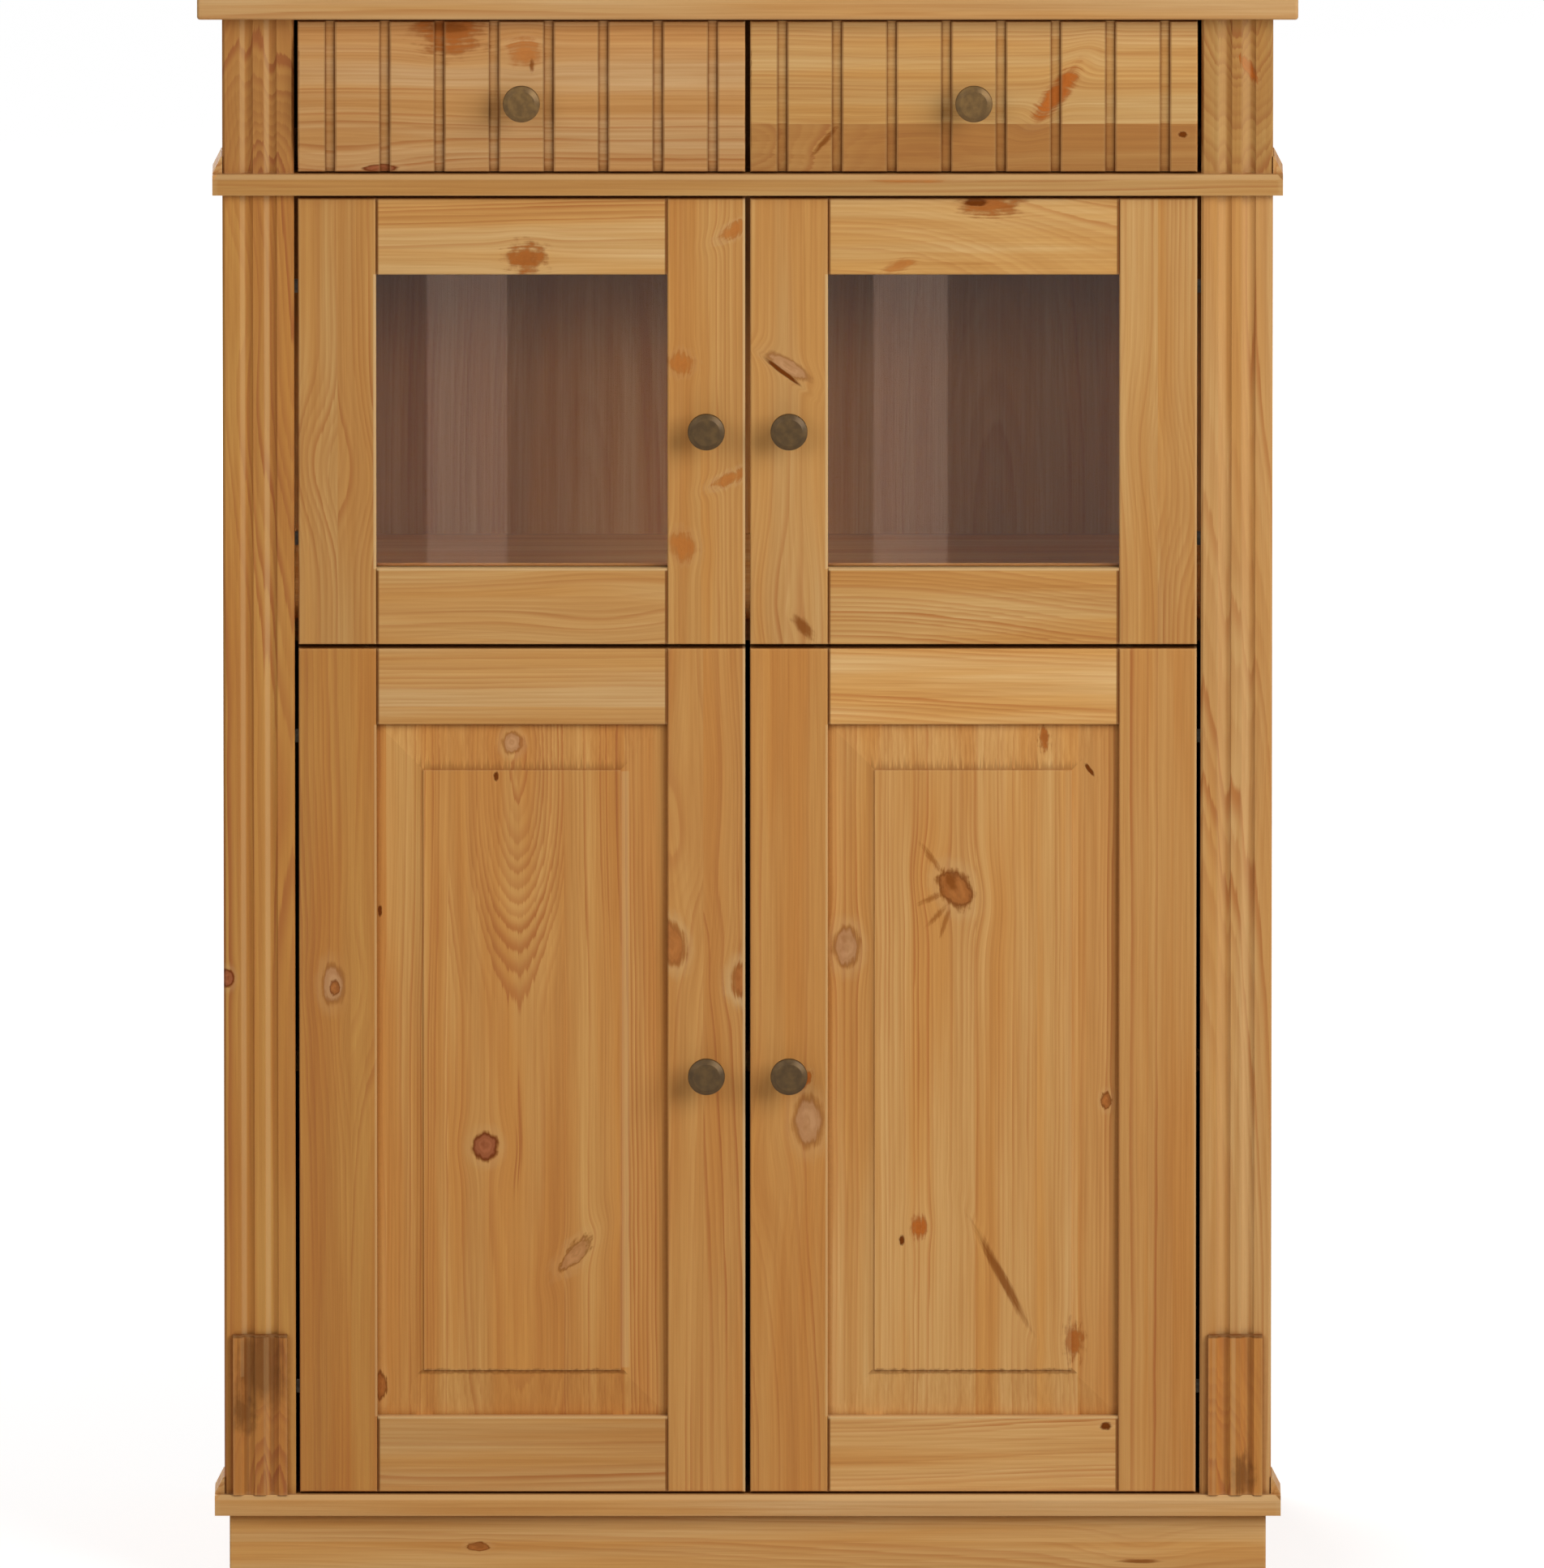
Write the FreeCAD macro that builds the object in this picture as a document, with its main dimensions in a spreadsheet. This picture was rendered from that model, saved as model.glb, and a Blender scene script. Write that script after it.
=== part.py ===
import FreeCAD, Part
import os
import re
import Sketcher

# Highboard in waxed pine: two drawers over two glazed doors over two panelled doors.
# Millimetres, +Z up, front towards -Y, origin under the middle of the whole on the floor.

# Driving dimensions
SIZES = {
    "carcass_width": "850",
    "carcass_depth": "380",
    "side_thickness": "20",
    "top_overhang": "20",
    "top_thickness": "24",
    "top_round": "2.5",
    "plinth_height": "65",
    "plinth_inset": "4",
    "plinth_thickness": "20",
    "deck_thickness": "16.5",
    "moulding_projection": "8",
    "moulding_bevel": "4",
    "return_slope_height": "14",
    "return_top_width": "1",
    "post_width": "58",
    "post_depth": "38",
    "post_chamfer": "2",
    "flute_radius": "6.5",
    "flute_depth": "3",
    "block_width": "44",
    "block_height": "133",
    "block_thickness": "6",
    "edge_round": "1.5",
    "door_thickness": "22",
    "lower_door_height": "700",
    "upper_door_height": "368.5",
    "door_side_gap": "3.2",
    "door_centre_gap": "4",
    "door_bottom_gap": "1.5",
    "door_between_gap": "3.5",
    "door_top_gap": "4",
    "stile_width": "63",
    "rail_width": "63",
    "frame_lip": "7",
    "groove_width": "7",
    "groove_depth": "10",
    "joint_clearance": "0.2",
    "panel_clearance": "1",
    "panel_bevel_width": "38",
    "panel_bevel_rise": "4",
    "panel_field_step": "1.2",
    "glass_thickness": "4",
    "drawer_front_height": "124",
    "drawer_front_thickness": "22",
    "drawer_bulge": "8",
    "drawer_bottom_gap": "1.5",
    "drawer_top_gap": "5",
    "front_groove_width": "8",
    "front_groove_depth": "2.5",
    "front_groove_pitch": "44.2",
    "drawer_side_thickness": "12",
    "drawer_side_height": "95",
    "drawer_box_depth": "310",
    "drawer_box_inset": "4",
    "drawer_back_drop": "12",
    "drawer_bottom_thickness": "5",
    "drawer_bottom_rise": "8",
    "drawer_groove_depth": "5",
    "drawer_running_gap": "0.3",
    "drawer_side_clearance": "0.8",
    "drawer_stop_gap": "1",
    "partition_thickness": "16",
    "guide_width": "24",
    "guide_height": "30",
    "shelf_thickness": "18",
    "shelf_lap": "1",
    "adjustable_shelf_height": "420",
    "adjustable_shelf_setback": "20",
    "adjustable_shelf_clearance": "0.8",
    "shelf_pin_radius": "2.5",
    "shelf_pin_depth": "8",
    "shelf_pin_reach": "9",
    "shelf_hole_pitch": "64",
    "shelf_hole_inset": "45",
    "back_thickness": "5",
    "back_rebate": "10",
    "back_screw_spread": "270",
    "screw_clearance": "0.05",
    "back_screw_head_radius": "3.5",
    "back_screw_head_height": "1.5",
    "back_screw_shank_radius": "1.6",
    "back_screw_length": "20",
    "hinge_setback": "22.5",
    "hinge_end_distance": "80",
    "hinge_cup_radius": "17.5",
    "hinge_cup_depth": "16",
    "hinge_cup_floor": "1",
    "hinge_slot_length": "31",
    "hinge_slot_width": "13",
    "hinge_pin_radius": "1.5",
    "hinge_pin_length": "24",
    "hinge_running_clearance": "0.05",
    "hinge_knuckle_radius": "2.8",
    "hinge_arm_width": "11",
    "hinge_arm_thickness": "2.5",
    "hinge_arm_angle": "42.5",
    "hinge_arm_standoff": "15.75",
    "hinge_plate_reach": "34",
    "hinge_screw_edge": "10",
    "hinge_screw_pitch": "14",
    "hinge_screw_head_radius": "3.4",
    "hinge_screw_head_height": "2",
    "hinge_screw_shank_radius": "1.75",
    "hinge_screw_length": "20",
    "knob_radius": "15",
    "knob_projection": "26",
    "knob_foot_radius": "8.5",
    "knob_foot_height": "3",
    "knob_neck_radius": "5.5",
    "knob_neck_height": "12",
    "knob_rim_height": "3",
    "knob_rim_bevel": "4",
    "knob_dome_height": "2.5",
    "knob_edge_round": "1",
    "knob_stud_radius": "2.5",
    "knob_stud_length": "14",
    "upper_knob_drop": "4",
}

# Places and fitted sizes, each a formula in the driving dimensions
PLACES = {
    "half_width": "carcass_width / 2",
    "inner_half": "half_width - side_thickness",
    "opening_half": "half_width - post_width",
    "front_face": "(drawer_bulge + knob_projection - carcass_depth) / 2",
    "back_face": "front_face + carcass_depth",
    "back_inner": "back_face - back_thickness",
    "post_back": "front_face + post_depth",
    "bottom_top": "plinth_height + deck_thickness",
    "lower_door_low": "bottom_top + door_bottom_gap",
    "lower_door_high": "lower_door_low + lower_door_height",
    "upper_door_low": "lower_door_high + door_between_gap",
    "upper_door_high": "upper_door_low + upper_door_height",
    "deck_low": "upper_door_high + door_top_gap",
    "deck_high": "deck_low + deck_thickness",
    "drawer_low": "deck_high + drawer_bottom_gap",
    "drawer_high": "drawer_low + drawer_front_height",
    "top_low": "drawer_high + drawer_top_gap",
    "top_high": "top_low + top_thickness",
    "door_inner": "door_centre_gap / 2",
    "door_outer": "opening_half - door_side_gap",
    "door_back": "front_face + door_thickness",
    "sight_inner": "door_inner + stile_width",
    "sight_outer": "door_outer - stile_width",
    "groove_front": "front_face + frame_lip",
    "groove_back": "groove_front + groove_width",
    "shelf_low": "lower_door_high - shelf_lap",
    "shelf_high": "shelf_low + shelf_thickness",
    "pin_x": "door_outer - hinge_setback",
    "pin_y": "front_face + door_thickness / 2",
    "bow_radius": "(drawer_front_height ^ 2 / 4 + drawer_bulge ^ 2) / (2 * drawer_bulge)",
    "bow_front": "front_face - drawer_bulge",
    "drawer_back": "front_face + drawer_front_thickness",
    "drawer_middle": "(door_inner + door_outer) / 2",
    "box_inner": "partition_thickness / 2 + drawer_side_clearance",
    "box_outer": "door_outer - drawer_box_inset",
    "box_low": "deck_high + drawer_running_gap",
    "box_high": "box_low + drawer_side_height",
    "box_end": "drawer_back + drawer_box_depth",
    "box_floor": "box_low + drawer_bottom_rise",
    "box_floor_top": "box_floor + drawer_bottom_thickness",
    "knob_x": "door_inner + stile_width / 2",
}

SIDES = {"left": -1, "right": 1}
FRONT_GROOVES = 8
SHELF_HOLES = 5
BACK_SCREWS = 3

doc = FreeCAD.newDocument("highboard")
sizes = doc.addObject("Spreadsheet::Sheet", "sizes")
for row, (alias, number) in enumerate(SIZES.items(), start=1):
    sizes.set(f"A{row}", number)
    sizes.setAlias(f"A{row}", alias)
doc.recompute()


def bound(text):
    """A formula with each name pointed at the cell or the place that holds it."""

    def owner(match):
        word = match.group()
        if word in SIZES:
            return f"sizes.{word}"
        if word in PLACES:
            return f"places.{word}"
        return word

    return re.sub(r"[a-z][a-z_]*", owner, text)


places = doc.addObject("App::VarSet", "places")
for name, text in PLACES.items():
    places.addProperty("App::PropertyFloat", name, "Places")
    places.setExpression(name, bound(text))
doc.recompute()


def value(text):
    """The number that a formula gives now."""
    return float(sizes.evalExpression(bound(text)))


# Makers of plain solids

TURNS = {
    "x": FreeCAD.Rotation(FreeCAD.Vector(0, 1, 0), 90),
    "y": FreeCAD.Rotation(FreeCAD.Vector(1, 0, 0), -90),
    "z": FreeCAD.Rotation(),
    "front": FreeCAD.Rotation(FreeCAD.Vector(1, 0, 0), 90),
}


def locate(item, place, turn="z"):
    """Turn a solid and bind its origin to three formulas."""
    item.Placement = FreeCAD.Placement(FreeCAD.Vector(), TURNS[turn])
    for axis, text in zip("xyz", place):
        item.setExpression(f"Placement.Base.{axis}", bound(text))


def box(name, x, y, z):
    """A board between pairs of formulas along each axis."""
    item = doc.addObject("Part::Box", name)
    for side, (low, high) in zip(("Length", "Width", "Height"), (x, y, z)):
        item.setExpression(side, bound(f"({high}) - ({low})"))
    locate(item, (x[0], y[0], z[0]))
    return item


def rod(name, axis, place, radius, length):
    """A cylinder that starts at a place and runs along an axis."""
    item = doc.addObject("Part::Cylinder", name)
    item.setExpression("Radius", bound(radius))
    item.setExpression("Height", bound(length))
    locate(item, place, axis)
    return item


def taper(name, front, back):
    """A block whose front rectangle differs from its back one; each is (x pair, y, z pair)."""
    item = doc.addObject("Part::Wedge", name)
    (x, y, z), (far_x, far_y, far_z) = front, back
    corners = {
        "Xmin": x[0], "Xmax": x[1], "Zmin": z[0], "Zmax": z[1], "Ymin": y,
        "X2min": far_x[0], "X2max": far_x[1], "Z2min": far_z[0], "Z2max": far_z[1], "Ymax": far_y,
    }
    for corner, text in corners.items():
        item.setExpression(corner, bound(text))
    return item


def outline(body, plane, corners):
    """A closed sketch in one of the body's own planes, each corner bound to two formulas."""
    sketch = body.newObject("Sketcher::SketchObject", f"{body.Name}_outline")
    base = [item for item in body.Origin.OriginFeatures if item.Role == plane]
    sketch.AttachmentSupport = [(base[0], "")]
    sketch.MapMode = "FlatFace"
    points = [FreeCAD.Vector(value(across), value(up), 0) for across, up in corners]
    for number, point in enumerate(points):
        sketch.addGeometry(Part.LineSegment(point, points[(number + 1) % len(points)]))
    for number in range(len(points)):
        sketch.addConstraint(Sketcher.Constraint("Coincident", number, 2, (number + 1) % len(points), 1))
    for number, corner in enumerate(corners):
        for kind, text in zip(("DistanceX", "DistanceY"), corner):
            fixed = sketch.addConstraint(Sketcher.Constraint(kind, -1, 1, number, 1, value(text)))
            sketch.setExpression(f"Constraints[{fixed}]", bound(text))
    return sketch


def prism(name, plane, corners, length, place):
    """A sketched outline padded to a length: up from the XY plane, or to the front from the XZ plane."""
    body = doc.addObject("PartDesign::Body", name)
    pad = body.newObject("PartDesign::Pad", f"{name}_pad")
    pad.Profile = outline(body, plane, corners)
    pad.setExpression("Length", bound(length))
    locate(body, place)
    return body


def fuse(name, items):
    item = doc.addObject("Part::MultiFuse", name)
    item.Shapes = items
    item.Refine = True
    return item


def cut(name, base, tools):
    item = doc.addObject("Part::Cut", name)
    item.Base = base
    item.Tool = tools[0] if len(tools) == 1 else fuse(f"{name}_cutter", tools)
    return item


def group(name, items):
    item = doc.addObject("Part::Compound", name)
    item.Links = items
    return item


def soften(kind, name, base, size, chosen):
    """Round (Part::Fillet) or bevel (Part::Chamfer) the edges of a solid that are chosen."""
    doc.recompute()
    item = doc.addObject(kind, name)
    item.Base = base
    amount = value(size)
    frame = base.Shape.BoundBox
    edges = enumerate(base.Shape.Edges, start=1)
    item.Edges = [(number, amount, amount) for number, edge in edges if chosen(edge.BoundBox, frame)]
    return item


# Choices of edges, from an edge's box and the solid's box

NEAR = 1e-4


def at_front(edge, solid):
    return edge.YMax < solid.YMin + NEAR


def front_corners(edge, solid):
    at_side = edge.XMax < solid.XMin + NEAR or edge.XMin > solid.XMax - NEAR
    return at_front(edge, solid) and at_side and edge.ZLength > NEAR


def front_top(edge, solid):
    return at_front(edge, solid) and edge.ZMin > solid.ZMax - NEAR


def off_back(edge, solid):
    return edge.YMin < solid.YMax - NEAR


def round_the_bow(edge, solid):
    """The edges of a bowed front face: all that keep clear of the flat back."""
    return edge.YMax < solid.YMax - NEAR


def eased(name, base):
    """A board whose front edges are rounded."""
    return soften("Part::Fillet", name, base, "edge_round", at_front)


def across(side, inner, outer):
    """A pair of formulas along X, on the left or the right half."""
    if SIDES[side] > 0:
        return (inner, outer)
    return (f"-({outer})", f"-({inner})")


def mirrored(side, text):
    return text if SIDES[side] > 0 else f"-({text})"


parts = {}


def keep(item, name):
    """Make a solid a sub-part under its own name."""
    item.Label = name
    parts[name] = item


# Carcass

half = ("-half_width", "half_width")
inside = ("-inner_half", "inner_half")


def hinge_heights():
    """The heights of the two hinges of each door, lower doors first."""
    heights = []
    for tier in ("lower", "upper"):
        heights.append(f"{tier}_door_low + hinge_end_distance")
        heights.append(f"{tier}_door_high - hinge_end_distance")
    return heights


def hinge_screw_places(side):
    """X and Z of the two screws of each hinge arm, in the back of a post."""
    plate_end = "pin_x + hinge_setback + door_side_gap + hinge_plate_reach"
    spots = []
    for height in hinge_heights():
        spots.append((mirrored(side, f"{plate_end} - hinge_screw_edge"), height))
        spots.append((mirrored(side, f"{plate_end} - hinge_screw_edge - hinge_screw_pitch"), height))
    return spots


def back_screw_places():
    """X and Z of the screws that hold the back to the bottom, the shelf and the deck."""
    spots = []
    for level in ("plinth_height + deck_thickness / 2", "shelf_low + shelf_thickness / 2",
                  "deck_low + deck_thickness / 2"):
        for number in range(BACK_SCREWS):
            spots.append((f"{number - (BACK_SCREWS - 1) / 2} * back_screw_spread", level))
    return spots


def back_screw_shanks(name, widening):
    rods = []
    for number, (x, z) in enumerate(back_screw_places()):
        place = (x, "back_face - back_screw_length", z)
        rods.append(rod(f"{name}_{number}", "y", place, f"back_screw_shank_radius + {widening}",
                        "back_screw_length - back_screw_head_height"))
    return rods


def back_screw_heads(name, widening):
    rods = []
    for number, (x, z) in enumerate(back_screw_places()):
        place = (x, "back_face - back_screw_head_height", z)
        rods.append(rod(f"{name}_{number}", "y", place, f"back_screw_head_radius + {widening}",
                        "back_screw_head_height"))
    return rods


def top_board():
    reach = ("-half_width - top_overhang", "half_width + top_overhang")
    board = box("top_blank", reach, ("front_face - top_overhang", "back_face"), ("top_low", "top_high"))
    keep(soften("Part::Fillet", "top_rounded", board, "top_round", off_back), "top_board")


def side_panel(side):
    """A side, rebated for the back and bored with rows of holes for the shelf pins."""
    board = box(f"{side}_side_blank", across(side, "inner_half", "half_width"),
                ("post_back", "back_face"), ("plinth_height", "top_low"))
    tools = [box(f"{side}_rebate", across(side, "inner_half", "inner_half + back_rebate"),
                 ("back_inner", "back_face"), ("plinth_height", "top_low"))]
    for column, y in enumerate(shelf_hole_columns()):
        for number in range(SHELF_HOLES):
            rise = f"{number - SHELF_HOLES // 2} * shelf_hole_pitch"
            place = (across(side, "inner_half", "inner_half + shelf_pin_depth")[0], y,
                     f"adjustable_shelf_height - shelf_pin_radius + {rise}")
            tools.append(rod(f"{side}_shelf_hole_{column}_{number}", "x", place,
                             "shelf_pin_radius + screw_clearance", "shelf_pin_depth"))
    keep(cut(f"{side}_side", board, tools), f"{side}_side_panel")


def shelf_hole_columns():
    return ("post_back + adjustable_shelf_setback + shelf_hole_inset", "back_inner - shelf_hole_inset")


def flutes(name, side, face, z):
    """Two round cutters a third of a post's width apart, sunk into a face."""
    rods = []
    for number in (1, 2):
        place = (mirrored(side, f"opening_half + post_width * {number} / 3"),
                 f"{face} - flute_radius + flute_depth", z[0])
        rods.append(rod(f"{name}_flute_{number}", "z", place, "flute_radius", f"({z[1]}) - ({z[0]})"))
    return rods


def post(side, tier, z, holes):
    name = f"{side}_{tier}_post"
    blank = box(f"{name}_blank", across(side, "opening_half", "half_width"), ("front_face", "post_back"), z)
    bevelled = soften("Part::Chamfer", f"{name}_bevelled", blank, "post_chamfer", front_corners)
    keep(cut(f"{name}_fluted", bevelled, flutes(name, side, "front_face", z) + holes), name)


def hinge_screw_holes(side):
    holes = []
    for number, (x, z) in enumerate(hinge_screw_places(side)):
        place = (x, "post_back - hinge_screw_length + hinge_arm_thickness", z)
        holes.append(rod(f"{side}_post_hole_{number}", "y", place,
                         "hinge_screw_shank_radius + screw_clearance",
                         "hinge_screw_length - hinge_arm_thickness"))
    return holes


def base_blocks():
    blocks = []
    z = ("bottom_top", "bottom_top + block_height")
    for side in SIDES:
        middle = "opening_half + post_width / 2"
        face = "front_face - block_thickness"
        reach = across(side, f"{middle} - block_width / 2", f"{middle} + block_width / 2")
        blank = box(f"{side}_block_blank", reach, (face, "front_face"), z)
        blocks.append(cut(f"{side}_block", blank, flutes(f"{side}_block", side, face, z)))
    keep(group("blocks", blocks), "base_blocks")


def deck(name, z):
    """A board that runs out over the full width at the posts and fits between the sides behind them."""
    wide = box(f"{name}_wide", half, ("front_face", "post_back"), z)
    narrow = box(f"{name}_narrow", inside, ("post_back", "back_inner"), z)
    board = fuse(f"{name}_blank", [wide, narrow])
    keep(cut(f"{name}_bored", board, back_screw_shanks(f"{name}_hole", "screw_clearance")), name)


def fixed_shelf():
    board = box("fixed_shelf_blank", inside, ("post_back", "back_inner"), ("shelf_low", "shelf_high"))
    holes = back_screw_shanks("fixed_shelf_hole", "screw_clearance")
    keep(cut("fixed_shelf_bored", board, holes), "fixed_shelf")


def adjustable_shelf():
    reach = "inner_half - adjustable_shelf_clearance"
    board = box("adjustable_shelf_blank", (f"-({reach})", reach),
                ("post_back + adjustable_shelf_setback", "back_inner - adjustable_shelf_clearance"),
                ("adjustable_shelf_height", "adjustable_shelf_height + shelf_thickness"))
    keep(eased("adjustable_shelf_eased", board), "adjustable_shelf")
    pins = []
    for side in SIDES:
        start = across(side, "inner_half - shelf_pin_reach", "inner_half + shelf_pin_depth")[0]
        for column, y in enumerate(shelf_hole_columns()):
            place = (start, y, "adjustable_shelf_height - shelf_pin_radius")
            pins.append(rod(f"{side}_shelf_pin_{column}", "x", place, "shelf_pin_radius",
                            "shelf_pin_depth + shelf_pin_reach"))
    keep(group("pins", pins), "shelf_pins")


def back():
    reach = "inner_half + back_rebate"
    thick = ("back_inner", "back_face")
    board = box("back_blank", (f"-({reach})", reach), thick, ("plinth_height", "top_low"))
    sinks = back_screw_heads("back_sink", "screw_clearance")
    holes = back_screw_shanks("back_hole", "screw_clearance")
    keep(cut("back_bored", board, sinks + holes), "back_panel")
    heads = back_screw_heads("back_screw_head", "0")
    shanks = back_screw_shanks("back_screw_shank", "0")
    screws = [fuse(f"back_screw_{number}", list(pair)) for number, pair in enumerate(zip(heads, shanks))]
    keep(group("back_screws", screws), "back_panel_screws")


def moulding_front(name, z):
    """A strip along the front, mitred at its ends and bevelled along its top."""
    wide = ("-half_width - moulding_projection", "half_width + moulding_projection")
    blank = taper(f"{name}_blank", (wide, "front_face - moulding_projection", z), (half, "front_face", z))
    keep(soften("Part::Chamfer", f"{name}_bevelled", blank, "moulding_bevel", front_top), name)


def moulding_returns():
    """Short strips round the posts, mitred to the front ones, each with a slope on top."""
    returns = []
    outer = "half_width + moulding_projection"
    for tier, low in (("base", "plinth_height"), ("waist", "deck_low")):
        for side in SIDES:
            name = f"{tier}_{side}_return"
            plan = [(mirrored(side, outer), "front_face - moulding_projection"),
                    (mirrored(side, "half_width"), "front_face"),
                    (mirrored(side, "half_width"), "post_back"),
                    (mirrored(side, outer), "post_back")]
            band = prism(f"{name}_band", "XY_Plane", plan, "deck_thickness", ("0", "0", low))
            profile = [(mirrored(side, "half_width"), "0"),
                       (mirrored(side, outer), "0"),
                       (mirrored(side, "half_width + return_top_width"), "return_slope_height"),
                       (mirrored(side, "half_width"), "return_slope_height")]
            slope = prism(f"{name}_slope", "XZ_Plane", profile, "post_depth",
                          ("0", "post_back", f"{low} + deck_thickness"))
            returns.append(fuse(name, [band, slope]))
    keep(group("returns", returns), "moulding_returns")


def plinth():
    reach = "half_width - plinth_inset"
    front = ("front_face + plinth_inset", "front_face + plinth_inset + plinth_thickness")
    z = ("0", "plinth_height")
    keep(eased("plinth_eased", box("plinth_blank", (f"-({reach})", reach), front, z)), "plinth_front")
    rails = []
    for side in SIDES:
        rails.append(box(f"{side}_plinth", across(side, f"{reach} - plinth_thickness", reach),
                         (front[1], "back_face - plinth_inset"), z))
    span = f"{reach} - plinth_thickness"
    rails.append(box("plinth_rear", (f"-({span})", span),
                     ("back_face - plinth_inset - plinth_thickness", "back_face - plinth_inset"), z))
    keep(group("plinth_rails", rails), "plinth_frame")


def drawer_bay():
    keep(box("partition", ("-partition_thickness / 2", "partition_thickness / 2"),
             ("drawer_back + drawer_stop_gap", "back_inner"), ("deck_high", "top_low")), "drawer_partition")
    guides = []
    for side in SIDES:
        start = "box_outer + drawer_side_clearance"
        guides.append(box(f"{side}_guide", across(side, start, f"{start} + guide_width"),
                          ("post_back", "back_inner"), ("deck_high", "deck_high + guide_height")))
    keep(group("guides", guides), "drawer_guides")


# Hinges: a cup in each door turns about a pin that an arm on the post holds

def hinge_arm(side, number, height):
    """A cranked strip from the knuckle round to a plate on the back of the post."""
    name = f"{side}_arm_{number}"
    lean = "hinge_arm_thickness / 2 * sin(hinge_arm_angle * 1 deg)"
    rise = "hinge_arm_thickness / 2 * cos(hinge_arm_angle * 1 deg)"
    slope = "tan(hinge_arm_angle * 1 deg)"
    far = "hinge_arm_standoff + hinge_arm_thickness"
    plate = "(post_back - pin_y)"
    end = "hinge_setback + door_side_gap + hinge_plate_reach"
    path = [
        (f"-({lean})", f"-({rise})"),
        (f"-({far})", f"({far} - {lean}) * {slope} - {rise}"),
        (f"-({far})", f"{plate} + hinge_arm_thickness"),
        (end, f"{plate} + hinge_arm_thickness"),
        (end, plate),
        ("-hinge_arm_standoff", plate),
        ("-hinge_arm_standoff", f"(hinge_arm_standoff + {lean}) * {slope} + {rise}"),
        (lean, rise),
    ]
    corners = [(mirrored(side, x), y) for x, y in path]
    foot = (mirrored(side, "pin_x"), "pin_y", f"{height} - hinge_arm_width / 2")
    strip = prism(f"{name}_strip", "XY_Plane", corners, "hinge_arm_width", foot)
    knuckle = rod(f"{name}_knuckle", "z", foot, "hinge_knuckle_radius", "hinge_arm_width")
    bores = [rod(f"{name}_bore", "z", foot, "hinge_pin_radius + hinge_running_clearance", "hinge_arm_width")]
    for spot, (x, z) in enumerate(hinge_screw_places(side)[2 * number:2 * number + 2]):
        bores.append(rod(f"{name}_screw_bore_{spot}", "y", (x, "post_back", z),
                         "hinge_screw_shank_radius + screw_clearance", "hinge_arm_thickness"))
    return cut(name, fuse(f"{name}_blank", [strip, knuckle]), bores)


def hinges():
    arms = []
    pins = []
    screws = []
    for side in SIDES:
        for number, height in enumerate(hinge_heights()):
            arms.append(hinge_arm(side, number, height))
            foot = (mirrored(side, "pin_x"), "pin_y", f"{height} - hinge_pin_length / 2")
            pins.append(rod(f"{side}_pin_{number}", "z", foot, "hinge_pin_radius", "hinge_pin_length"))
        for number, (x, z) in enumerate(hinge_screw_places(side)):
            name = f"{side}_hinge_screw_{number}"
            plate_back = "post_back + hinge_arm_thickness"
            head = rod(f"{name}_head", "y", (x, plate_back, z), "hinge_screw_head_radius",
                       "hinge_screw_head_height")
            shank = rod(f"{name}_shank", "y", (x, f"{plate_back} - hinge_screw_length", z),
                        "hinge_screw_shank_radius", "hinge_screw_length")
            screws.append(fuse(name, [head, shank]))
    keep(group("arms", arms), "hinge_arms")
    keep(group("pivots", pins), "hinge_pins")
    keep(group("hinge_fixings", screws), "hinge_screws")


def hinge_cups(side, tier):
    """Two round cups let into a door's outer stile, each slotted for its arm and bored for its pin."""
    cups = []
    for end, height in enumerate(door_hinge_heights(tier)):
        name = f"{side}_{tier}_cup_{end}"
        x = mirrored(side, "pin_x")
        blank = rod(f"{name}_blank", "y", (x, "door_back - hinge_cup_depth", height), "hinge_cup_radius",
                    "hinge_cup_depth")
        slot = box(f"{name}_slot", (f"{x} - hinge_slot_length / 2", f"{x} + hinge_slot_length / 2"),
                   ("door_back - hinge_cup_depth + hinge_cup_floor", "door_back"),
                   (f"{height} - hinge_slot_width / 2", f"{height} + hinge_slot_width / 2"))
        length = "hinge_pin_length + 2 * hinge_running_clearance"
        bore = rod(f"{name}_bore", "z", (x, "pin_y", f"{height} - ({length}) / 2"),
                   "hinge_pin_radius + hinge_running_clearance", length)
        cups.append(cut(name, blank, [slot, bore]))
    keep(group(f"{side}_{tier}_cups", cups), f"{tier}_{side}_door_hinge_cups")


def door_hinge_heights(tier):
    heights = hinge_heights()
    return heights[:2] if tier == "lower" else heights[2:]


# Knobs

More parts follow.
